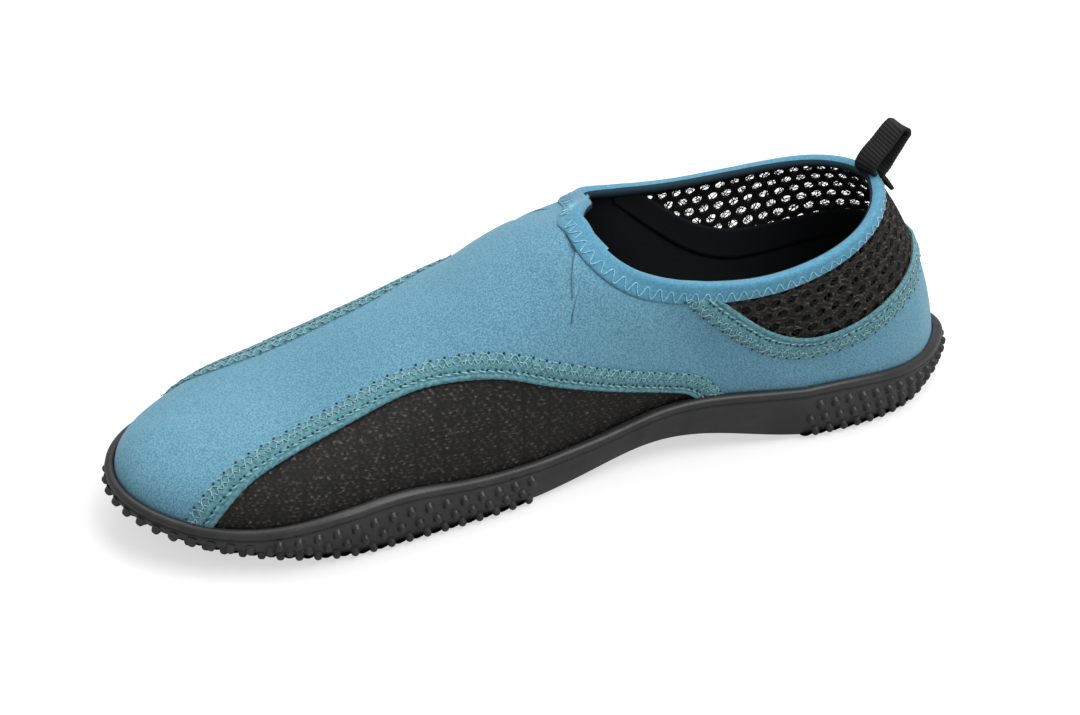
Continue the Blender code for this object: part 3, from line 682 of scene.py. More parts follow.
def cloth(turn, rise, out=0.0):
    """Points over the skin: its soft creases and a distance out."""
    turn, rise, out = np.broadcast_arrays(np.asarray(turn, float), np.asarray(rise, float), out)
    face = skin(turn, rise)
    face = face + pull(face)
    return face + (out + relief(face))[..., None] * skin_normal(turn, rise)


def srgb(code):
    """Hex colour as the linear values that a shader takes."""
    values = [int(code[k:k + 2], 16) / 255 for k in (1, 3, 5)]
    return (*(v / 12.92 if v <= 0.04045 else ((v + 0.055) / 1.055) ** 2.4 for v in values), 1)


def add(tree, kind, settings=None, links=None):
    """A shader node. Settings are its own or its inputs' values; links lead other nodes' outputs to it."""
    node = tree.nodes.new("ShaderNode" + kind)
    for name, value in (settings or {}).items():
        if name in node.inputs:
            node.inputs[name].default_value = value
        else:
            setattr(node, name, value)
    for name, (source, output) in (links or {}).items():
        tree.links.new(source.outputs[output], node.inputs[name])
    return node


def ramp(tree, source, output, stops):
    """Colours over a value, as (place, hex) stops."""
    node = add(tree, "ValToRGB", None, {"Fac": (source, output)})
    while len(node.color_ramp.elements) < len(stops):
        node.color_ramp.elements.new(0.5)
    for element, (place, code) in zip(node.color_ramp.elements, stops):
        element.position = place
        element.color = srgb(code)
    return node


def finish(name):
    """An empty material with its tree, its main shader and the object's own coordinates in metres."""
    made = bpy.data.materials.new(name)
    made.use_nodes = True
    tree = made.node_tree
    shader = tree.nodes["Principled BSDF"]
    place = add(tree, "TexCoord")
    return made, tree, shader, place


def bump(tree, shader, height, output, depth):
    """Fine relief that only the light sees, as deep as given in metres."""
    node = add(tree, "Bump", {"Distance": depth, "Strength": 1.0}, {"Height": (height, output)})
    tree.links.new(node.outputs["Normal"], shader.inputs["Normal"])


def noise(tree, place, size, detail=2.0, spread=0.5):
    """Noise whose patches are about as large as a size in metres."""
    return add(tree, "TexNoise", {"Scale": 1 / size, "Detail": detail, "Roughness": spread},
               {"Vector": (place, "Object")})


def matt_cloth(name, size, stops, roughness, sheen=0.0, height=0.0, detail=2.0, spread=0.5):
    """A matt textile whose colour and fine relief follow one noise."""
    made, tree, shader, place = finish(name)
    grain = noise(tree, place, size, detail, spread)
    tint = ramp(tree, grain, "Fac", stops)
    tree.links.new(tint.outputs["Color"], shader.inputs["Base Color"])
    shader.inputs["Roughness"].default_value = roughness
    shader.inputs["Sheen Weight"].default_value = sheen
    if height:
        bump(tree, shader, grain, "Fac", height)
    return made


def neoprene_jersey():
    """Neoprene faced with brushed nylon jersey: matt, with a faint nap at the edges and a fine soft grain."""
    made, tree, shader, place = finish("neoprene_jersey")
    # The jersey's stitches are 0.3 mm and too fine to show, so the grain is drawn at 0.5 mm
    grain = noise(tree, place, 0.5 * MM, detail=1.0)
    broad = noise(tree, place, 55 * MM)
    tint = ramp(tree, broad, "Fac", ((0.3, "#5590AB"), (0.7, "#659FB8")))
    fleck = ramp(tree, grain, "Fac", ((0.36, "#447A94"), (0.64, "#8ABDD0")))
    mixed = add(tree, "Mix", {"data_type": "RGBA", "blend_type": "MIX", "Factor": 0.5},
                {"A": (tint, "Color"), "B": (fleck, "Color")})
    tree.links.new(mixed.outputs["Result"], shader.inputs["Base Color"])
    shader.inputs["Roughness"].default_value = 0.82
    shader.inputs["Sheen Weight"].default_value = 0.35
    shader.inputs["Sheen Roughness"].default_value = 0.45
    shader.inputs["Sheen Tint"].default_value = srgb("#BFE3F0")
    bump(tree, shader, grain, "Fac", 0.10 * MM)
    return made


def dark_lining():
    """Nylon lining of the neoprene's inner face: near black with a hint of navy."""
    return matt_cloth("nylon_lining", 1.2 * MM, ((0.3, "#02040A"), (0.7, "#070B15")), 0.9, height=0.10 * MM)


def overlocked_band():
    """Flat band covered by overlock thread: paler and greener than the jersey, broken by its stitches."""
    # Thread lies 0.5 mm apart; drawn at 1 mm so that it shows
    stops = ((0.3, "#2F6672"), (0.5, "#558F9C"), (0.72, "#7AAFB8"))
    return matt_cloth("overlock_band", 1.0 * MM, stops, 0.8, 0.25, 0.25 * MM, detail=3.0, spread=0.7)


def thread_finish(name, light, dark):
    """Polyester sewing thread: pale, with a weak gloss along it."""
    return matt_cloth(name, 0.8 * MM, ((0.35, dark), (0.65, light)), 0.55)


def binding_tape():
    """Smooth stretch tape, cut from the same jersey and pulled tight, so smoother and a little darker."""
    return matt_cloth("binding_tape", 0.8 * MM, ((0.3, "#4288A8"), (0.7, "#5A9FBC")), 0.7, 0.3, 0.06 * MM)


def plain_finish(name, code, roughness):
    """One even colour, for what is too small to show any grain."""
    made, _, shader, _ = finish(name)
    shader.inputs["Base Color"].default_value = srgb(code)
    shader.inputs["Roughness"].default_value = roughness
    return made


def black_knit():
    """Black polyester knit: yarn with brown and grey flecks; its holes and the net's inner faces are darkened
    with painted shade by the relief's height.
    """
    made, tree, shader, place = finish("black_knit")
    # Yarn shows as short level strokes, about 2 mm by 0.6 mm
    level_strokes = add(tree, "Mapping", {}, {"Vector": (place, "Object")})
    level_strokes.inputs["Scale"].default_value = (1 / (1.9 * MM), 1 / (1.9 * MM), 1 / (0.6 * MM))
    fleck = add(tree, "TexNoise", {"Scale": 1.0, "Detail": 3.0, "Roughness": 0.7},
                {"Vector": (level_strokes, "Vector")})
    yarn = ramp(tree, fleck, "Fac",
                ((0.40, "#060606"), (0.52, "#1B1917"), (0.60, "#433D36"), (0.70, "#746C60")))
    # Painted shade: the lower the relief, the nearer the colour goes to black, down in the knit's holes and
    # inside the net
    depth = add(tree, "Attribute", {"attribute_name": "height"})
    painted_shade = add(tree, "MapRange", {"From Min": 0.2, "From Max": 0.75, "To Min": 0.06, "To Max": 1.0},
                {"Value": (depth, "Fac")})
    mixed = add(tree, "Mix", {"data_type": "RGBA", "blend_type": "MIX", "A": srgb("#030303")},
                {"Factor": (painted_shade, "Result"), "B": (yarn, "Color")})
    tree.links.new(mixed.outputs["Result"], shader.inputs["Base Color"])
    shader.inputs["Roughness"].default_value = 0.75
    bump(tree, shader, fleck, "Fac", 0.22 * MM)
    return made


def moulded_rubber():
    """Moulded black rubber: dark grey, matt, with a broad weak sheen and slight mottling."""
    made, tree, shader, place = finish("moulded_rubber")
    mottle = noise(tree, place, 14 * MM, detail=5.0, spread=0.6)
    tint = ramp(tree, mottle, "Fac", ((0.3, "#272728"), (0.7, "#39393A")))
    tree.links.new(tint.outputs["Color"], shader.inputs["Base Color"])
    grain = noise(tree, place, 0.6 * MM)
    shader.inputs["Roughness"].default_value = 0.4
    shader.inputs["IOR"].default_value = 1.5
    bump(tree, shader, grain, "Fac", 0.04 * MM)
    return made


def add_mesh(name, vertices, faces, finishes, which=None, heights=None):
    """A smooth mesh from numbers, with the finish of each face and the relief's height at each point, which
    the knit's finish turns into painted shade.
    """
    mesh = bpy.data.meshes.new(name)
    mesh.from_pydata(np.asarray(vertices).tolist(), [], [list(face) for face in faces])
    mesh.shade_smooth()
    for made in finishes:
        mesh.materials.append(made)
    if which is not None:
        mesh.polygons.foreach_set("material_index", np.asarray(which, np.int32))
    if heights is not None:
        layer = mesh.attributes.new("height", "FLOAT", "POINT")
        layer.data.foreach_set("value", np.asarray(heights, np.float32).ravel())
    made = bpy.data.objects.new(name, mesh)
    bpy.context.scene.collection.objects.link(made)
    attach(made, "root")
    return made


def weld(made, distance=0.01 * MM):
    """Joins points that lie together and turns all faces outwards."""
    bm = bmesh.new()
    bm.from_mesh(made.data)
    bmesh.ops.remove_doubles(bm, verts=bm.verts[:], dist=distance)
    bmesh.ops.recalc_face_normals(bm, faces=bm.faces[:])
    bm.to_mesh(made.data)
    bm.free()
    return made


def grid_faces(columns, rows, closed, start=0):
    """Quads of a grid of points, whose columns join up when it is closed."""
    steps = columns if closed else columns - 1
    i, k = np.meshgrid(np.arange(steps), np.arange(rows - 1), indexing="ij")
    j = (i + 1) % columns
    quads = np.stack([i * rows + k, j * rows + k, j * rows + k + 1, i * rows + k + 1], -1)
    return quads.reshape(-1, 4) + start


def add_sheet(name, outer, inner, finishes, closed=False, welded=None, heights=None, cut=0):
    """A sheet of cloth between two grids of points: outer face, inner face and its cut edges."""
    columns, rows = outer.shape[:2]
    count = columns * rows
    faces = [grid_faces(columns, rows, closed), grid_faces(columns, rows, closed, count)[:, ::-1]]
    which = [np.zeros(len(faces[0])), np.full(len(faces[1]), len(finishes) - 1)]
    steps = columns if closed else columns - 1
    i = np.arange(steps)
    j = (i + 1) % columns
    low = np.stack([i * rows, i * rows + count, j * rows + count, j * rows], -1)
    top = np.stack([i * rows, j * rows, j * rows + count, i * rows + count], -1) + rows - 1
    if welded is not None:
        top = top[~(welded[i] & welded[j])]
    faces += [low, top]
    if not closed:
        k = np.arange(rows - 1)
        faces.append(np.stack([k, k + 1, k + 1 + count, k + count], -1))
        faces.append(np.stack([k, k + count, k + 1 + count, k + 1], -1) + (columns - 1) * rows)
    which += [np.full(len(f), cut) for f in faces[2:]]
    points = np.concatenate([outer.reshape(-1, 3), inner.reshape(-1, 3)])
    if heights is not None:
        heights = np.concatenate([heights.ravel(), heights.ravel()])
    return add_mesh(name, points, np.concatenate(faces), finishes, np.concatenate(which), heights)


def add_ring(name, rings, finishes, closed, which=None):
    """A band swept through rings of points, capped where it isn't closed. Each of its rows has a finish."""
    columns, rows = rings.shape[:2]
    points = np.concatenate([rings, rings[:, :1]], 1)
    faces = list(grid_faces(columns, rows + 1, closed))
    if not closed:
        faces += [np.arange(rows)[::-1], (columns - 1) * (rows + 1) + np.arange(rows)]
    if which is not None:
        which = np.resize(which, len(faces))
    return weld(add_mesh(name, points.reshape(-1, 3), faces, finishes, which))


def tube_rings(paths, outs, radius, flat=0.75, sides=6):
    """Rings of points round many threads, each a path with the direction out of the cloth at its points."""
    run = unit(np.gradient(paths, axis=-2))
    side = unit(np.cross(run, outs))
    out = np.cross(side, run)
    angles = 2 * math.pi * np.arange(sides + 1) / sides
    ring = (
        paths[..., None, :]
        + radius * np.cos(angles)[:, None] * side[..., None, :]
        + flat * radius * np.sin(angles)[:, None] * out[..., None, :]
    )
    ring[..., 0, :, :] += 0.6 * (paths[..., :1, :] - ring[..., 0, :, :])
    ring[..., -1, :, :] += 0.6 * (paths[..., -1:, :] - ring[..., -1, :, :])
    return ring


def add_threads(name, bundles, made_of):
    """Joined threads. A bundle holds paths, outward directions and the thread's radius."""
    points, faces, total = [], [], 0
    for paths, outs, radius in bundles:
        rings = tube_rings(paths, outs, radius)
        count, steps, sides = rings.shape[:3]
        for n in range(count):
            faces.append(grid_faces(steps, sides, False, total + n * steps * sides))
        points.append(rings.reshape(-1, 3))
        total += count * steps * sides
    return add_mesh(name, np.concatenate(points), np.concatenate(faces), [made_of])


def add_studs(name, places, normals, ways, radii, height, made_of):
    """Joined studs: low domes with a filleted foot, each with its own place, direction and size."""
    angles = 2 * math.pi * np.arange(STUD_SIDES) / STUD_SIDES
    ways = unit(ways - normals * (ways * normals).sum(-1, keepdims=True))
    across_way = np.cross(normals, ways)
    shape = np.array([
        (r * math.cos(a), r * math.sin(a), h) for r, h in STUD_PROFILE for a in angles
    ] + [(0, 0, STUD_CROWN)])
    wide, tall = radii
    points = (
        places[:, None]
        + wide * shape[:, 0, None] * ways[:, None]
        + tall * shape[:, 1, None] * across_way[:, None]
        + height * shape[:, 2, None] * normals[:, None]
    )
    faces = []
    per = len(shape)
    for k in range(len(STUD_PROFILE) - 1):
        for m in range(STUD_SIDES):
            n = (m + 1) % STUD_SIDES
            low, high = k * STUD_SIDES, (k + 1) * STUD_SIDES
            faces.append((low + m, low + n, high + n, high + m))
    top = (len(STUD_PROFILE) - 1) * STUD_SIDES
    faces += [(top + m, top + (m + 1) % STUD_SIDES, per - 1) for m in range(STUD_SIDES)]
    every = [tuple(v + per * s for v in face) for s in range(len(places)) for face in faces]
    return add_mesh(name, points.reshape(-1, 3), every, [made_of])


def fine_columns(step):
    """Turns of the upper's columns, where their tops lie, and how high those are, cut as finely as asked."""
    tops, rises = collar_line(step)
    vamp = even_turns(base_line, tops[-1], math.pi, int(VAMP_LENGTH / step))
    full = np.concatenate([tops, vamp[1:]])
    from_here = len(tops) - 1 - int(THROAT_SPREAD / step)
    low = even_turns(base_line, tops[from_here], math.pi, len(full) - 1 - from_here)
    base = np.concatenate([tops[:from_here], low])
    heights = np.concatenate([rises, 1 + 0 * vamp[1:]])
    return both_sides(base), both_sides(full), mirrored(heights)


def panel_grid(turns, tops, low, high, rows):
    """Turn and rise at each point of a panel between two lines round the upper."""
    share = np.linspace(0, 1, rows + 1)
    rise = low[:, None] + (high - low)[:, None] * share
    turn = turns[:, None] + (tops - turns)[:, None] * share**3
    return turn, rise


def build_upper(made_of, lining):
    """Vamp, quarters and heel in one piece of neoprene, open at the collar and at the three meshes."""
    turns, tops, collar = fine_columns(CLOTH_STEP)
    turn, rise = panel_grid(turns, tops, side_seam(turns), np.minimum(heel_seam(tops), collar), UPPER_STEPS)
    outer, inner = cloth(turn, rise), cloth(turn, rise, -WALL)
    made = add_sheet("upper_neoprene", outer, inner, [made_of, lining], closed=True,
                     welded=collar > 1 - 1e-6, cut=1)
    weld(made)
    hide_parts("upper")


def knit_height(u, v):
    """Relief of the knit from 0 in its holes to 1 on its yarn, over distances round and up the shoe."""
    wide, tall = LOOP_PITCH
    row = v / tall
    across_loops = np.cos(2 * math.pi * u / wide + math.pi * np.floor(row))
    loops = 0.5 + 0.5 * across_loops * np.sin(math.pi * (row % 1))
    rib = np.abs((u / RIB_PITCH) % 1 - 0.5) * RIB_PITCH
    return loops * (1 - 0.85 * np.exp(-(rib / (0.45 * MM)) ** 2))


def build_inside_tape(made_of):
    """Black tape over the heel seam's inner side, where the net is sewn to the neoprene."""
    end = turn_at(HEEL_SEAM[-1][0])
    turns = np.linspace(-end, end, 260)
    seam, collar = heel_seam(turns), collar_rise(turns)
    each = rise_per_metre(turns, seam)
    low = seam - INSIDE_TAPE[0] * each
    high = np.minimum(seam + INSIDE_TAPE[1] * each, collar - 1 * MM * each)
    rise = low[:, None] + np.maximum(high - low, 0)[:, None] * np.linspace(0, 1, 9)
    turn = np.broadcast_to(turns[:, None], rise.shape)
    edges = [cloth(turn, rise, -WALL - depth * MM) for depth in (0.05, 0.35)]
    made = add_sheet("heel_inside_tape", *edges, [made_of])


def build_side_mesh(name, side, made_of):
    """Knitted panel that fills a side cut-out, from the sole up to its seam."""
    ends = [turn_at(row[0]) for row in (SIDE_SEAM[0], SIDE_SEAM[-1])]
    length = travel(skin(side * np.linspace(*ends, 400), 0.0))[-1]
    turns = even_turns(base_line, side * ends[0], side * ends[1], int(length / KNIT_STEP))
    turns = turns[1:-1] if side > 0 else turns[-2:0:-1]
    top = side_seam(turns) + 0.2 * MM * rise_per_metre(turns, side_seam(turns))
    rows = int(KNIT_HEIGHT / KNIT_STEP)
    share = np.linspace(0, 1, rows + 1)
    rise = top[:, None] * share
    turn = np.broadcast_to(turns[:, None], rise.shape)
    face, normal = cloth(turn, rise), skin_normal(turn, rise)
    u = travel(face[:, rows // 2])
    v = np.cumsum(np.linalg.norm(np.diff(face, axis=1, prepend=face[:, :1]), axis=-1), axis=1)
    height = knit_height(u[:, None] + 0 * v, v)
    sunk = MESH_SINK + LOOP_RELIEF * (1 - height)
    outer = face - sunk[..., None] * normal
    inner = face - (MESH_SINK + MESH_THICKNESS) * normal
    # The relief's height also darkens the knit's holes as painted shade
    made = add_sheet(name, outer, inner, [made_of], heights=height)
    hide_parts(name)


def heel_map():
    """Distance round the heel panel for a fine row of turns, 0 at the back."""
    end = turn_at(HEEL_SEAM[-1][0])
    turn = np.linspace(-end, end, 801)
    travelled = travel(skin(turn, (collar_rise(turn) + heel_seam(turn)) / 2))
    return turn, travelled - travelled[len(turn) // 2]


def build_heel_mesh(made_of):
    """Open net round the heel: staggered holes between rounded strands."""
    fine, travelled = heel_map()
    radius = NET_PITCH / math.sqrt(3)
    corner = np.arange(12) * math.pi / 6 + math.pi / 6
    edge = np.where(np.arange(12) % 2 == 0, radius, NET_PITCH / 2)
    hexagon = np.stack([np.cos(corner), np.sin(corner)], -1) * edge[:, None]
    hole = np.stack([np.cos(corner), 0.88 * np.sin(corner)], -1) * NET_HOLE * NET_PITCH / 2
    chance = np.random.default_rng(7)
    centres = []
    for k in range(NET_ROWS):
        for j in range(-NET_COLUMNS, NET_COLUMNS + 1):
            centres.append(((j + 0.5 * (k % 2)) * NET_PITCH, 1 * MM + 1.5 * radius * k))
    centres = np.array(centres)
    turn = np.interp(centres[:, 0], travelled, fine)
    room = (collar_rise(turn) - heel_seam(turn)) / rise_per_metre(turn, heel_seam(turn))
    inside = (np.abs(centres[:, 0]) < travelled[-1] - NET_END) & (centres[:, 1] < room + 2 * MM)
    centres = centres[inside & (room > NET_LEAST)]
    wobble = 1 + NET_WOBBLE * chance.uniform(-1, 1, (len(centres), 12, 1))
    hole = hole * (wobble + np.roll(wobble, 1, axis=1)) / 2
    rings, lifts = [], []
    for share, lift in NET_PROFILE:
        rings.append(centres[:, None] + hexagon + (hole - hexagon) * share)
        lifts.append(lift)
    rings = np.stack(rings, 1)
    u, v = rings[..., 0], rings[..., 1]
    turn, rise = on_heel_panel(u, v, fine, travelled)
    depth = np.array(lifts)[None, :, None] * NET_THICKNESS
    points = cloth(turn, rise, -MESH_SINK - depth)
    count, layers, corners = points.shape[:3]
    n, k, m = np.meshgrid(np.arange(count), np.arange(layers - 1), np.arange(corners), indexing="ij")
    start = (n * layers + k) * corners
    quads = np.stack([start + m, start + (m + 1) % corners,
                      start + corners + (m + 1) % corners, start + corners + m], -1).reshape(-1, 4)
    heights = np.broadcast_to(1 - depth / NET_THICKNESS, points.shape[:-1])
    # The depth also darkens the net's inner faces as painted shade
    made = add_mesh("mesh_heel_net", points.reshape(-1, 3), quads, [made_of], heights=heights)
    weld(made)
    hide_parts("mesh_heel")
    build_hairs(chance, centres, fine, travelled, made_of)


def build_hairs(chance, centres, fine, travelled, made_of):
    """Loose fibres across the net's holes, so that they read grey and ragged."""
    start = chance.uniform(0, 2 * math.pi, (len(centres), NET_HAIRS, 1))
    end = start + chance.uniform(0.55, 1.0, start.shape) * math.pi
    share = np.linspace(0, 1, 6)
    reach = 0.62 * NET_HOLE * NET_PITCH
    start, end = (np.stack([np.cos(angle), np.sin(angle)]) for angle in (start, end))
    hair = reach * ((1 - share) * start + share * end)
    hair = hair.reshape(2, -1, len(share)) + np.repeat(centres, NET_HAIRS, axis=0).T[..., None]
    turn, rise = on_heel_panel(*hair, fine, travelled)
    sag = 0.25 + 0.5 * chance.uniform(0, 1, (hair.shape[1], 1))
    points, outs = cloth(turn, rise, -MESH_SINK - sag * NET_THICKNESS), skin_normal(turn, rise)
    hairs = add_threads("mesh_heel_hairs", [(points, outs, NET_HAIR)], made_of)


def on_heel_panel(u, v, fine, travelled):
    """Turn and rise of places on the heel panel, given how far round it and below the collar they are."""
    turn = np.interp(u, travelled, fine)
    collar, seam = collar_rise(turn), heel_seam(turn)
    return turn, np.clip(collar - v * rise_per_metre(turn, (collar + seam) / 2), seam, collar)


def lay_line(rise_of, start, end, step):
    """A line on the skin: how far along it, its turn and rise, and the way up square to it."""
    def place(turn):
        return skin(turn, rise_of(turn))

    length = travel(place(np.linspace(start, end, 300)))[-1]
    turns = even_turns(place, start, end, int(length / step))
    rise = rise_of(turns)
    return travel(skin(turns, rise)), turns, rise, across(turns, rise)


def on_line(line, s, w, out):
    """Points beside a line, at distances along it, up from it and out of the cloth, and the way out there.

    What would lie over the binding is sunk into the cloth."""
    travelled, turns, rises, sides = line
    s, w, out = np.broadcast_arrays(np.asarray(s, float), np.asarray(w, float), np.asarray(out, float))
    turn, rise = np.interp(s, travelled, turns), np.interp(s, travelled, rises)
    side = np.stack([np.interp(s, travelled, sides[:, k]) for k in range(3)], -1)
    turn, rise = slide(turn, rise, side, w)
    rise = np.clip(rise, 0.01, 1)
    flat_turn, flat_rise = wrapped(turn).ravel(), rise.ravel().copy()
    near = np.abs(flat_turn) < throat_turn()
    over = np.zeros(flat_turn.shape, bool)
    collar = collar_rise(flat_turn[near])
    room = BINDING_COVER * rise_per_metre(flat_turn[near], collar)
    over[near] = flat_rise[near] > collar - room
    flat_rise[near] = np.minimum(flat_rise[near], collar - room / 2)
    rise = flat_rise.reshape(rise.shape)
    out = np.where(over.reshape(out.shape), -1.0 * MM, out)
    return cloth(turn, rise, out), skin_normal(turn, rise)


def zigzag(length, pitch, low, high):
    """Distances along and up of a zigzag thread with rounded tips."""
    s = np.arange(0, length, pitch / 10)
    phase = (s / pitch) % 1
    wave = 1 - 2 * np.abs(2 * phase - 1)
    wave = np.sin(math.pi / 2 * np.clip(wave * 1.25, -1, 1))
    return s, (low + high) / 2 + wave * (high - low) / 2


def dashes(length, pitch, share, slant):
    """Short stitches one after another: distances along them and how far each leans up."""
    starts = np.arange(pitch / 2, length - pitch, pitch)
    steps = np.linspace(0, 1, 6)
    return starts[:, None] + share * pitch * steps, slant * (steps - 0.5) + 0 * starts[:, None]


def build_seam(name, line, flip, band, thread, hole):
    """Overlocked seam: a low flat band, a rolled edge on the mesh's side, zigzag and chain stitches."""
    travelled = line[0]
    length = travelled[-1]
    half = SEAM_WIDTH / 2
    s = np.arange(0, length, TAPE_STEP)
    w = np.linspace(-1, 1, 15)
    crown = 0.15 * MM + (BAND_HEIGHT - 0.15 * MM) * (1 - w**4) * (0.85 + 0.15 * np.cos(3 * math.pi * w))
    outer, _ = on_line(line, s[:, None], flip * half * w, crown)
    inner, _ = on_line(line, s[:, None], flip * half * w, -0.3 * MM + 0 * crown)
    if flip < 0:
        outer, inner = outer[:, ::-1], inner[:, ::-1]
    sheet = add_sheet(name + "_band", outer, inner, [band])
    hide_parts(name)
    rim_s = np.arange(0, length, 0.8 * MM)
    rim, rim_out = on_line(line, rim_s, -flip * (half - 0.35 * MM) + 0 * rim_s, 0.45 * MM)
    wave = 1 + 0.08 * np.sin(2 * math.pi * rim_s / CHAIN_PITCH)
    edge = add_threads(name + "_rim", [(rim[None], rim_out[None], RIM * wave[None, :, None, None])], band)
    bundles = []
    for low, high, pitch, radius in SEAM_ZIGZAGS:
        s, w = zigzag(length, pitch, low * MM, high * MM)
        height = BAND_HEIGHT * (1.02 - 0.55 * np.clip((np.abs(w) - 2.2 * MM) / (1.3 * MM), 0, 1) ** 2)
        points, outs = on_line(line, s, flip * w, height)
        bundles.append((points[None], outs[None], radius * THREAD))
    for pitch, share, lean, shift, up, height, radius in SEAM_DASHES:
        s, w = dashes(length, pitch, share, lean)
        points, outs = on_line(line, s + shift, flip * (w + up), height)
        bundles.append((points, outs, radius * THREAD))
    stitches = add_threads(name + "_stitches", bundles, thread)
    # Dark dots at the needle holes: painted shade
    places = np.arange(ZIGZAG_PITCH / 2, length - ZIGZAG_PITCH, ZIGZAG_PITCH)
    rows = []
    for shift, up in SEAM_HOLES:
        rows.append(np.stack([places + shift * ZIGZAG_PITCH, np.full(len(places), up * MM)], -1))
    rows = np.concatenate(rows)
    points, outs = on_line(line, rows[:, 0], flip * rows[:, 1], BAND_HEIGHT - 0.06 * MM)
    ways = np.broadcast_to(np.array([1.0, 0, 0]), points.shape)
    holes = add_studs(name + "_needle_holes", points, outs, ways, (NEEDLE_HOLE, NEEDLE_HOLE), 0.12 * MM, hole)


def collar_path(step):
    """The collar's line as a closed ring: turn, rise, the way down square to it and how far along it."""
    tops, rises = collar_line(step)
    turn, rise = both_sides_open(tops), mirrored_open(rises)
    points = skin(turn, rise)
    run = np.roll(points, -1, axis=0) - np.roll(points, 1, axis=0)
    down = unit(np.cross(skin_normal(turn, rise), run))
    return turn, rise, down, travel(np.concatenate([points, points[:1]]))


def both_sides_open(turns):
    """Turns from the outer side round the heel to the throat, which belongs to both sides."""
    return np.concatenate([-turns[-2:0:-1], turns])


def mirrored_open(values):
    return np.concatenate([values[-2:0:-1], values])


def build_binding(tape, shaded_fold, thread):
    """Stretch tape folded over the collar's edge, its outer half held by a zigzag stitch."""
    turn, rise, down, travelled = collar_path(TAPE_STEP)
    normal = skin_normal(turn, rise)
    width = np.interp(np.abs(turn), *zip(*BINDING_WIDTH))
    top = cloth(turn, rise) - skin(turn, rise)
    rings = []
    for out, lower in BINDING_PROFILE:
        if lower > 0:
            t, r = slide(turn, rise, down, lower * MM * width)
            rings.append(cloth(t, r, out * MM))
        else:
            rings.append(skin(turn, rise) + top + out * MM * normal + lower * MM * down)
    # Rows inside the collar take the dark fold finish: painted shade
    which = [int(out < FOLD_SHADE_START) for out, _ in BINDING_PROFILE]
    made = add_ring("collar_binding_tape", np.stack(rings, 1), [tape, shaded_fold], closed=True, which=which)
    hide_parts("collar_binding")
    lowest, highest, height = BINDING_ZIGZAG
    s, w = zigzag(travelled[-2], BINDING_PITCH, lowest, highest)
    at = [np.interp(s, travelled[:-1], line) for line in (turn, rise)]
    side = unit(np.stack([np.interp(s, travelled[:-1], down[:, k]) for k in range(3)], -1))
    t, r = slide(at[0], at[1], side, w * np.interp(np.abs(at[0]), *zip(*BINDING_WIDTH)))
    points, outs = cloth(t, r, height), skin_normal(t, r)
    stitches = add_threads("collar_zigzag", [(points[None], outs[None], THREAD)], thread)


def loop_path():
    """Route of the webbing: out of the binding, up, folded over and down the outside of the heel."""
    turn = np.zeros(1)
    rise = collar_rise(turn)
    top, normal = skin(turn, rise)[0], skin_normal(turn, rise)[0]
    climb = np.cross([0, 1, 0], normal)
    up, back = np.array([0, 0, 1.0]), np.array([-1.0, 0, 0])
    lean = math.cos(LOOP_LEAN) * up + math.sin(LOOP_LEAN) * back
    away = math.cos(LOOP_LEAN) * back - math.sin(LOOP_LEAN) * up
    half = WEBBING / 2
    radius = LOOP_GAP / 2 + half
    foot = top - WALL / 2 * normal + BINDING * climb
    knee = foot + LOOP_KNEE * (climb + up) / 2
    centre = knee + lean * (LOOP_HEIGHT - LOOP_KNEE - radius) + away * radius + np.array(LOOP_SHIFT)
    knee = knee + 0.4 * np.array(LOOP_SHIFT)
    path = [foot, foot + LOOP_KNEE / 2 * climb, knee, (knee + centre - away * radius) / 2]
    for k in range(LOOP_STEPS + 1):
        angle = math.pi * k / LOOP_STEPS
        path.append(centre + radius * (math.sin(angle) * lean - math.cos(angle) * away))
    back = centre + radius * away
    step = rise_per_metre(turn, rise)
    on_heel = []
    for down in np.linspace(0.5 * MM, LOOP_END, 5):
        low = rise - down * step
        on_heel.append((skin(turn, low) + (0.4 * MM + half) * skin_normal(turn, low))[0])
    path += [back + share * (on_heel[0] - back) for share in (0.3, 0.6, 0.85)] + on_heel
    return np.array(path)


def build_loop(webbing):
    """Ribbed webbing folded into a loop at the back of the collar."""
    rough = loop_path()
    travelled = travel(rough)
    s = np.arange(0, travelled[-1], 0.15 * MM)
    path = np.stack([spline(travelled, rough[:, k], s) for k in range(3)], -1)
    way = unit(np.gradient(path, axis=0))
    share = s / travelled[-1]
    angle = LOOP_TURN * (1 - 0.85 * share)
    wide = np.stack([-np.sin(angle), np.cos(angle), 0 * angle], -1)
    wide = unit(wide - way * (way * wide).sum(-1, keepdims=True))
    thick = np.cross(way, wide)
    rib = 0.5 + 0.5 * np.cos(2 * math.pi * s / WEBBING_RIBS)
    half = (WEBBING / 2 - 0.12 * MM) + 0.16 * MM * rib
    rings = []
    for a, b in WEBBING_PROFILE:
        rings.append(path + a * wide * LOOP_BREADTH / 2 + b * thick * half[:, None])
    made = add_ring("pull_loop_webbing", np.stack(rings, 1), [webbing], closed=False)
    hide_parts("pull_loop")


def sole_columns(step):
    """Turns that cut the outline into equal steps."""
    length = travel(outline(np.linspace(0, math.pi, 400)))[-1]
    return both_sides(even_turns(outline, 0, math.pi, int(length / step)))


def wall_point(turn, share):
    """Point of the sole's plain side wall at a share of its height. The wall leans in towards the ground."""
    turn, share = np.broadcast_arrays(np.asarray(turn, float), np.asarray(share, float))
    deep = BOTTOM_INSET * along(SIDE, 2, outline(turn)[..., 0])
    lean = np.clip(1 - share / WALL_BEND, 0, 1) ** 1.7
    plan = inset(turn, WALL_INSET + (deep - WALL_INSET) * lean)
    foot, head = underside(plan[..., 0]), sole_top(plan[..., 0]) - LIP_HEIGHT
    return level(plan, foot + share * (head - foot))


def wall_normal(turn, share):
    """Direction out of the side wall."""
    up = wall_point(turn, share + 0.03) - wall_point(turn, share - 0.03)
    run = wall_point(turn + 2e-3, share) - wall_point(turn - 2e-3, share)
    return unit(np.cross(up, run))


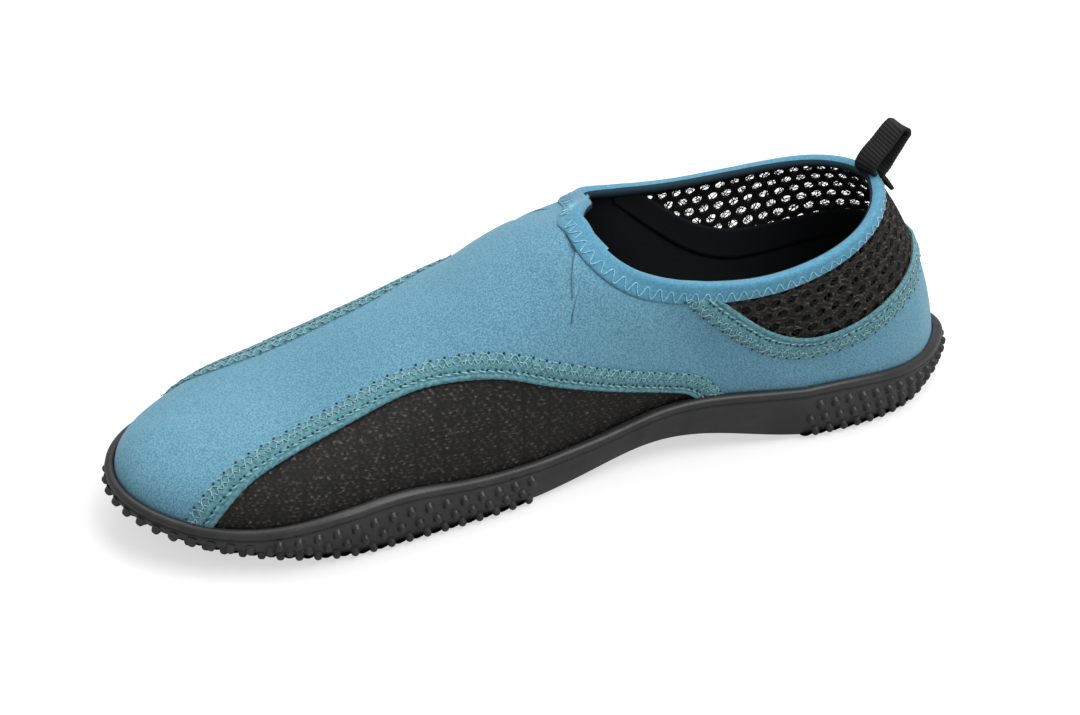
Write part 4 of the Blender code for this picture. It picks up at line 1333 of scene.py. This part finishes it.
def build_sole(rubber):
    """Cup sole: rounded foot, plain wall with faint mould lines, groove, rounded lip and the cup inside."""
    turns = sole_columns(SOLE_STEP)
    wall = inset(turns, WALL_INSET)
    place = wall[:, 0] / LENGTH + 0.5
    marks = sum(np.exp(-((place - mark) * LENGTH / (0.8 * MM)) ** 2) for mark in MOULD_LINES)
    out = outward(turns)
    edge = wall_point(turns, 0.0)
    rings = [level(edge[:, :2] - 1.2 * MM * out, edge[:, 2])]
    for share in WALL_ROWS:
        ring = wall_point(turns, share)
        ring[:, :2] -= (MOULD_DEPTH * marks * (0.1 < share < 0.95))[:, None] * out
        rings.append(ring)
    for share in (1.0, 1.035):
        ring = wall_point(turns, share)
        ring[:, :2] -= GROOVE * out
        rings.append(ring)
    top = rise_where(turns, lambda p: p[..., 2] > sole_top(p[..., 0]) - LIP_HEIGHT / 4)
    cup = [skin(turns, top * share) + 0.2 * MM * skin_normal(turns, top * share) for share in (1, 0.5, 0)]
    for way, share in LIP_ROWS:
        plan = wall + way * (cup[0][:, :2] - wall)
        rings.append(level(plan, sole_top(plan[:, 0]) - LIP_HEIGHT * (1 - share)))
    rings += cup[:2]
    rings.append(level(cup[2][:, :2], sole_floor(cup[2][:, 0])))
    rings = np.stack(rings, 1)
    columns, rows = rings.shape[:2]
    points = [rings.reshape(-1, 3)]
    faces = [grid_faces(columns, rows, True)]
    total = columns * rows
    half = columns // 2
    for row, height in ((0, underside), (rows - 1, sole_floor)):
        left = rings[np.arange(half + 1), row]
        right = rings[-np.arange(half + 1) % columns, row]
        share = np.linspace(0, 1, 21)[None, :, None]
        sheet = left[:, None] + (right - left)[:, None] * share
        sheet[1:-1, 1:-1, 2] = height(sheet[1:-1, 1:-1, 0])
        points.append(sheet.reshape(-1, 3))
        faces.append(grid_faces(half + 1, 21, False, total))
        total += sheet.shape[0] * sheet.shape[1]
    made = add_mesh("outsole_rubber", np.concatenate(points), np.concatenate(faces), [rubber])
    weld(made)
    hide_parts("outsole")


def zone_turns(zone, pitch, shift):
    """Turns of a row of studs round the heel or the forefoot, shifted by a share of their pitch."""
    if zone == "heel":
        start, end = -turn_at(HEEL_ZONE), turn_at(HEEL_ZONE)
    else:
        start, end = turn_at(FORE_ZONE), 2 * math.pi - turn_at(FORE_ZONE)
    fine = np.linspace(start, end, 1500)
    travelled = travel(outline(fine))
    count = int(travelled[-1] / pitch)
    return np.interp((np.arange(count) + 0.5 + shift) * travelled[-1] / (count + 0.5), travelled, fine)


def build_studs(rubber):
    """Round studs in staggered rows on the side wall, and lower ones under the sole."""
    places, normals = [], []
    for zone, pitch in (("fore", FORE_STUDS), ("heel", HEEL_STUDS)):
        for row in range(3):
            turns = zone_turns(zone, pitch, 0.5 * (row % 2) - 0.25)
            x = outline(turns)[:, 0]
            tall = np.clip((SOLE_SIDE * along(SIDE, 1, x) - LIP_HEIGHT - LOW_WALL) / (2 * MM), 0, 1)
            low, middle, high, middle_of_low_wall = STUD_SHARES
            share = (low + 0 * tall, middle_of_low_wall + (middle - middle_of_low_wall) * tall,
                     high + 0 * tall)[row]
            if row == 2:
                turns, share = turns[tall > 0.5], share[tall > 0.5]
            places.append(wall_point(turns, share))
            normals.append(wall_normal(turns, share))
    places, normals = np.concatenate(places), np.concatenate(normals)
    ways = np.broadcast_to(np.array([0, 0, 1.0]), places.shape)
    wall = add_studs("outsole_side_studs", places, normals, ways, STUD_RADII, STUD_OUT, rubber)
    spots = []
    for zone, pitch in (("fore", FORE_STUDS), ("heel", HEEL_STUDS)):
        turns = zone_turns(zone, pitch, 0.25)
        spots.append(inset(turns, BOTTOM_INSET * along(SIDE, 2, outline(turns)[:, 0]) + BORDER_INSET))
    for lowest, highest in ((0.03, HEEL_ZONE), (FORE_ZONE, 0.97)):
        rows = np.arange((lowest - 0.5) * LENGTH, (highest - 0.5) * LENGTH, 0.86 * TREAD_PITCH)
        for n, x in enumerate(rows):
            turn = math.acos(-2 * x / LENGTH)
            sides = outline(np.array([turn, -turn]))[:, 1]
            y = np.arange(-56, 57, TREAD_PITCH / MM) * MM + (n % 2) * TREAD_PITCH / 2
            y = y[(y < sides[0] - TREAD_MARGIN) & (y > sides[1] + TREAD_MARGIN)]
            spots.append(np.stack([np.full(len(y), x), y], -1))
    spots = np.concatenate(spots)
    below = level(spots, underside(spots[:, 0]))
    down = np.broadcast_to(np.array([0, 0, -1.0]), below.shape)
    ways = np.broadcast_to(np.array([1.0, 0, 0]), below.shape)
    tread = add_studs("outsole_ground_studs", below, down, ways, (TREAD_RADIUS, TREAD_RADIUS),
                      STUD_HEIGHT / STUD_CROWN, rubber)


def make_camera():
    """Camera at the photograph's angle, distance and roll."""
    level_part = math.cos(CAMERA_LIFT)
    towards = np.array([math.sin(CAMERA_TURN) * level_part, math.cos(CAMERA_TURN) * level_part,
                        math.sin(CAMERA_LIFT)])
    right = np.array([-math.cos(CAMERA_TURN), math.sin(CAMERA_TURN), 0])
    up = np.cross(right, -towards)
    turned_right = right * math.cos(CAMERA_ROLL) + up * math.sin(CAMERA_ROLL)
    turned_up = -right * math.sin(CAMERA_ROLL) + up * math.cos(CAMERA_ROLL)
    aim = np.array([0, SIDEWAYS, AIM_HEIGHT])
    place = aim + towards * CAMERA_DISTANCE + turned_right * CAMERA_SLIDE[0] + turned_up * CAMERA_SLIDE[1]
    camera = bpy.data.cameras.new("camera")
    camera.sensor_width = 36
    camera.lens = CAMERA_LENS
    camera.clip_start = 0.05
    made = bpy.data.objects.new("camera", camera)
    bpy.context.scene.collection.objects.link(made)
    matrix = Matrix([list(row) for row in np.stack([turned_right, turned_up, towards], 1)]).to_4x4()
    made.matrix_world = Matrix.Translation(Vector(place)) @ matrix
    bpy.context.scene.camera = made


def make_light():
    """White studio: an even white surround and soft lamps above."""
    world = bpy.data.worlds.new("studio")
    world.use_nodes = True
    world.node_tree.nodes["Background"].inputs["Color"].default_value = (1, 1, 1, 1)
    world.node_tree.nodes["Background"].inputs["Strength"].default_value = SURROUND
    bpy.context.scene.world = world
    for name, place, size, power in LAMPS:
        lamp = bpy.data.lights.new(name, "AREA")
        lamp.shape = "DISK"
        lamp.size = size
        lamp.energy = power
        made = bpy.data.objects.new(name, lamp)
        bpy.context.scene.collection.objects.link(made)
        made.location = place
        made.rotation_euler = (Vector((0, 0, AIM_HEIGHT)) - Vector(place)).to_track_quat("-Z", "Y").to_euler()
    bpy.context.scene.view_settings.view_transform = "Standard"


def make_floor():
    """Plain pale paper just below the studs."""
    mesh = bpy.data.meshes.new("floor")
    far = FLOOR_REACH
    mesh.from_pydata([(-far, -far, 0), (far, -far, 0), (far, far, 0), (-far, far, 0)], [], [(0, 1, 2, 3)])
    paper, tree, shader, _ = finish("white_paper")
    shader.inputs["Base Color"].default_value = srgb(FLOOR_TONE)
    shader.inputs["Roughness"].default_value = 1.0
    shader.inputs["Specular IOR Level"].default_value = 0.0
    # To the camera alone it glows, so that it stays white with a faint shadow and lights the sides no more
    ray = add(tree, "LightPath")
    glow = add(tree, "MapRange", {"To Max": FLOOR_GLOW}, {"Value": (ray, "Is Camera Ray")})
    shader.inputs["Emission Color"].default_value = srgb("#FFFFFF")
    tree.links.new(glow.outputs["Result"], shader.inputs["Emission Strength"])
    mesh.materials.append(paper)
    made = bpy.data.objects.new("floor", mesh)
    made.location.z = -FLOOR_DROP
    bpy.context.scene.collection.objects.link(made)


def main():
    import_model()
    jersey, lining, knit, rubber = neoprene_jersey(), dark_lining(), black_knit(), moulded_rubber()
    band, tape = overlocked_band(), binding_tape()
    thread = thread_finish("overlock_thread", "#A3CBD0", "#5E98A3")
    tape_thread = thread_finish("binding_thread", "#9CCFDF", "#63A7BF")
    webbing = plain_finish("ribbed_webbing", "#141414", 0.75)
    # The needle holes' dark blue-grey is painted shade
    hole = plain_finish("needle_hole_shade", "#1C3B45", 0.9)
    build_upper(jersey, lining)
    build_side_mesh("mesh_side_medial", 1, knit)
    build_side_mesh("mesh_side_lateral", -1, knit)
    build_heel_mesh(knit)
    build_inside_tape(lining)
    ends = [turn_at(row[0]) for row in (SIDE_SEAM[0], SIDE_SEAM[-1])]
    for name, start, end in (("seam_side_medial", *ends), ("seam_side_lateral", -ends[1], -ends[0])):
        build_seam(name, lay_line(side_seam, start, end, 1 * MM), 1, band, thread, hole)
    end = turn_at(HEEL_SEAM[-1][0])
    build_seam("seam_heel", lay_line(heel_seam, -end, end, 1 * MM), -1, band, thread, hole)
    # The binding's inner fold is dark with painted shade
    build_binding(tape, plain_finish("binding_fold_shade", "#12303C", 0.85), tape_thread)
    build_loop(webbing)
    build_sole(rubber)
    build_studs(rubber)
    for made in bpy.data.objects:
        if made.name == "insole":
            made.data.materials.clear()
            made.data.materials.append(lining)
    make_camera()
    make_light()
    make_floor()


main()
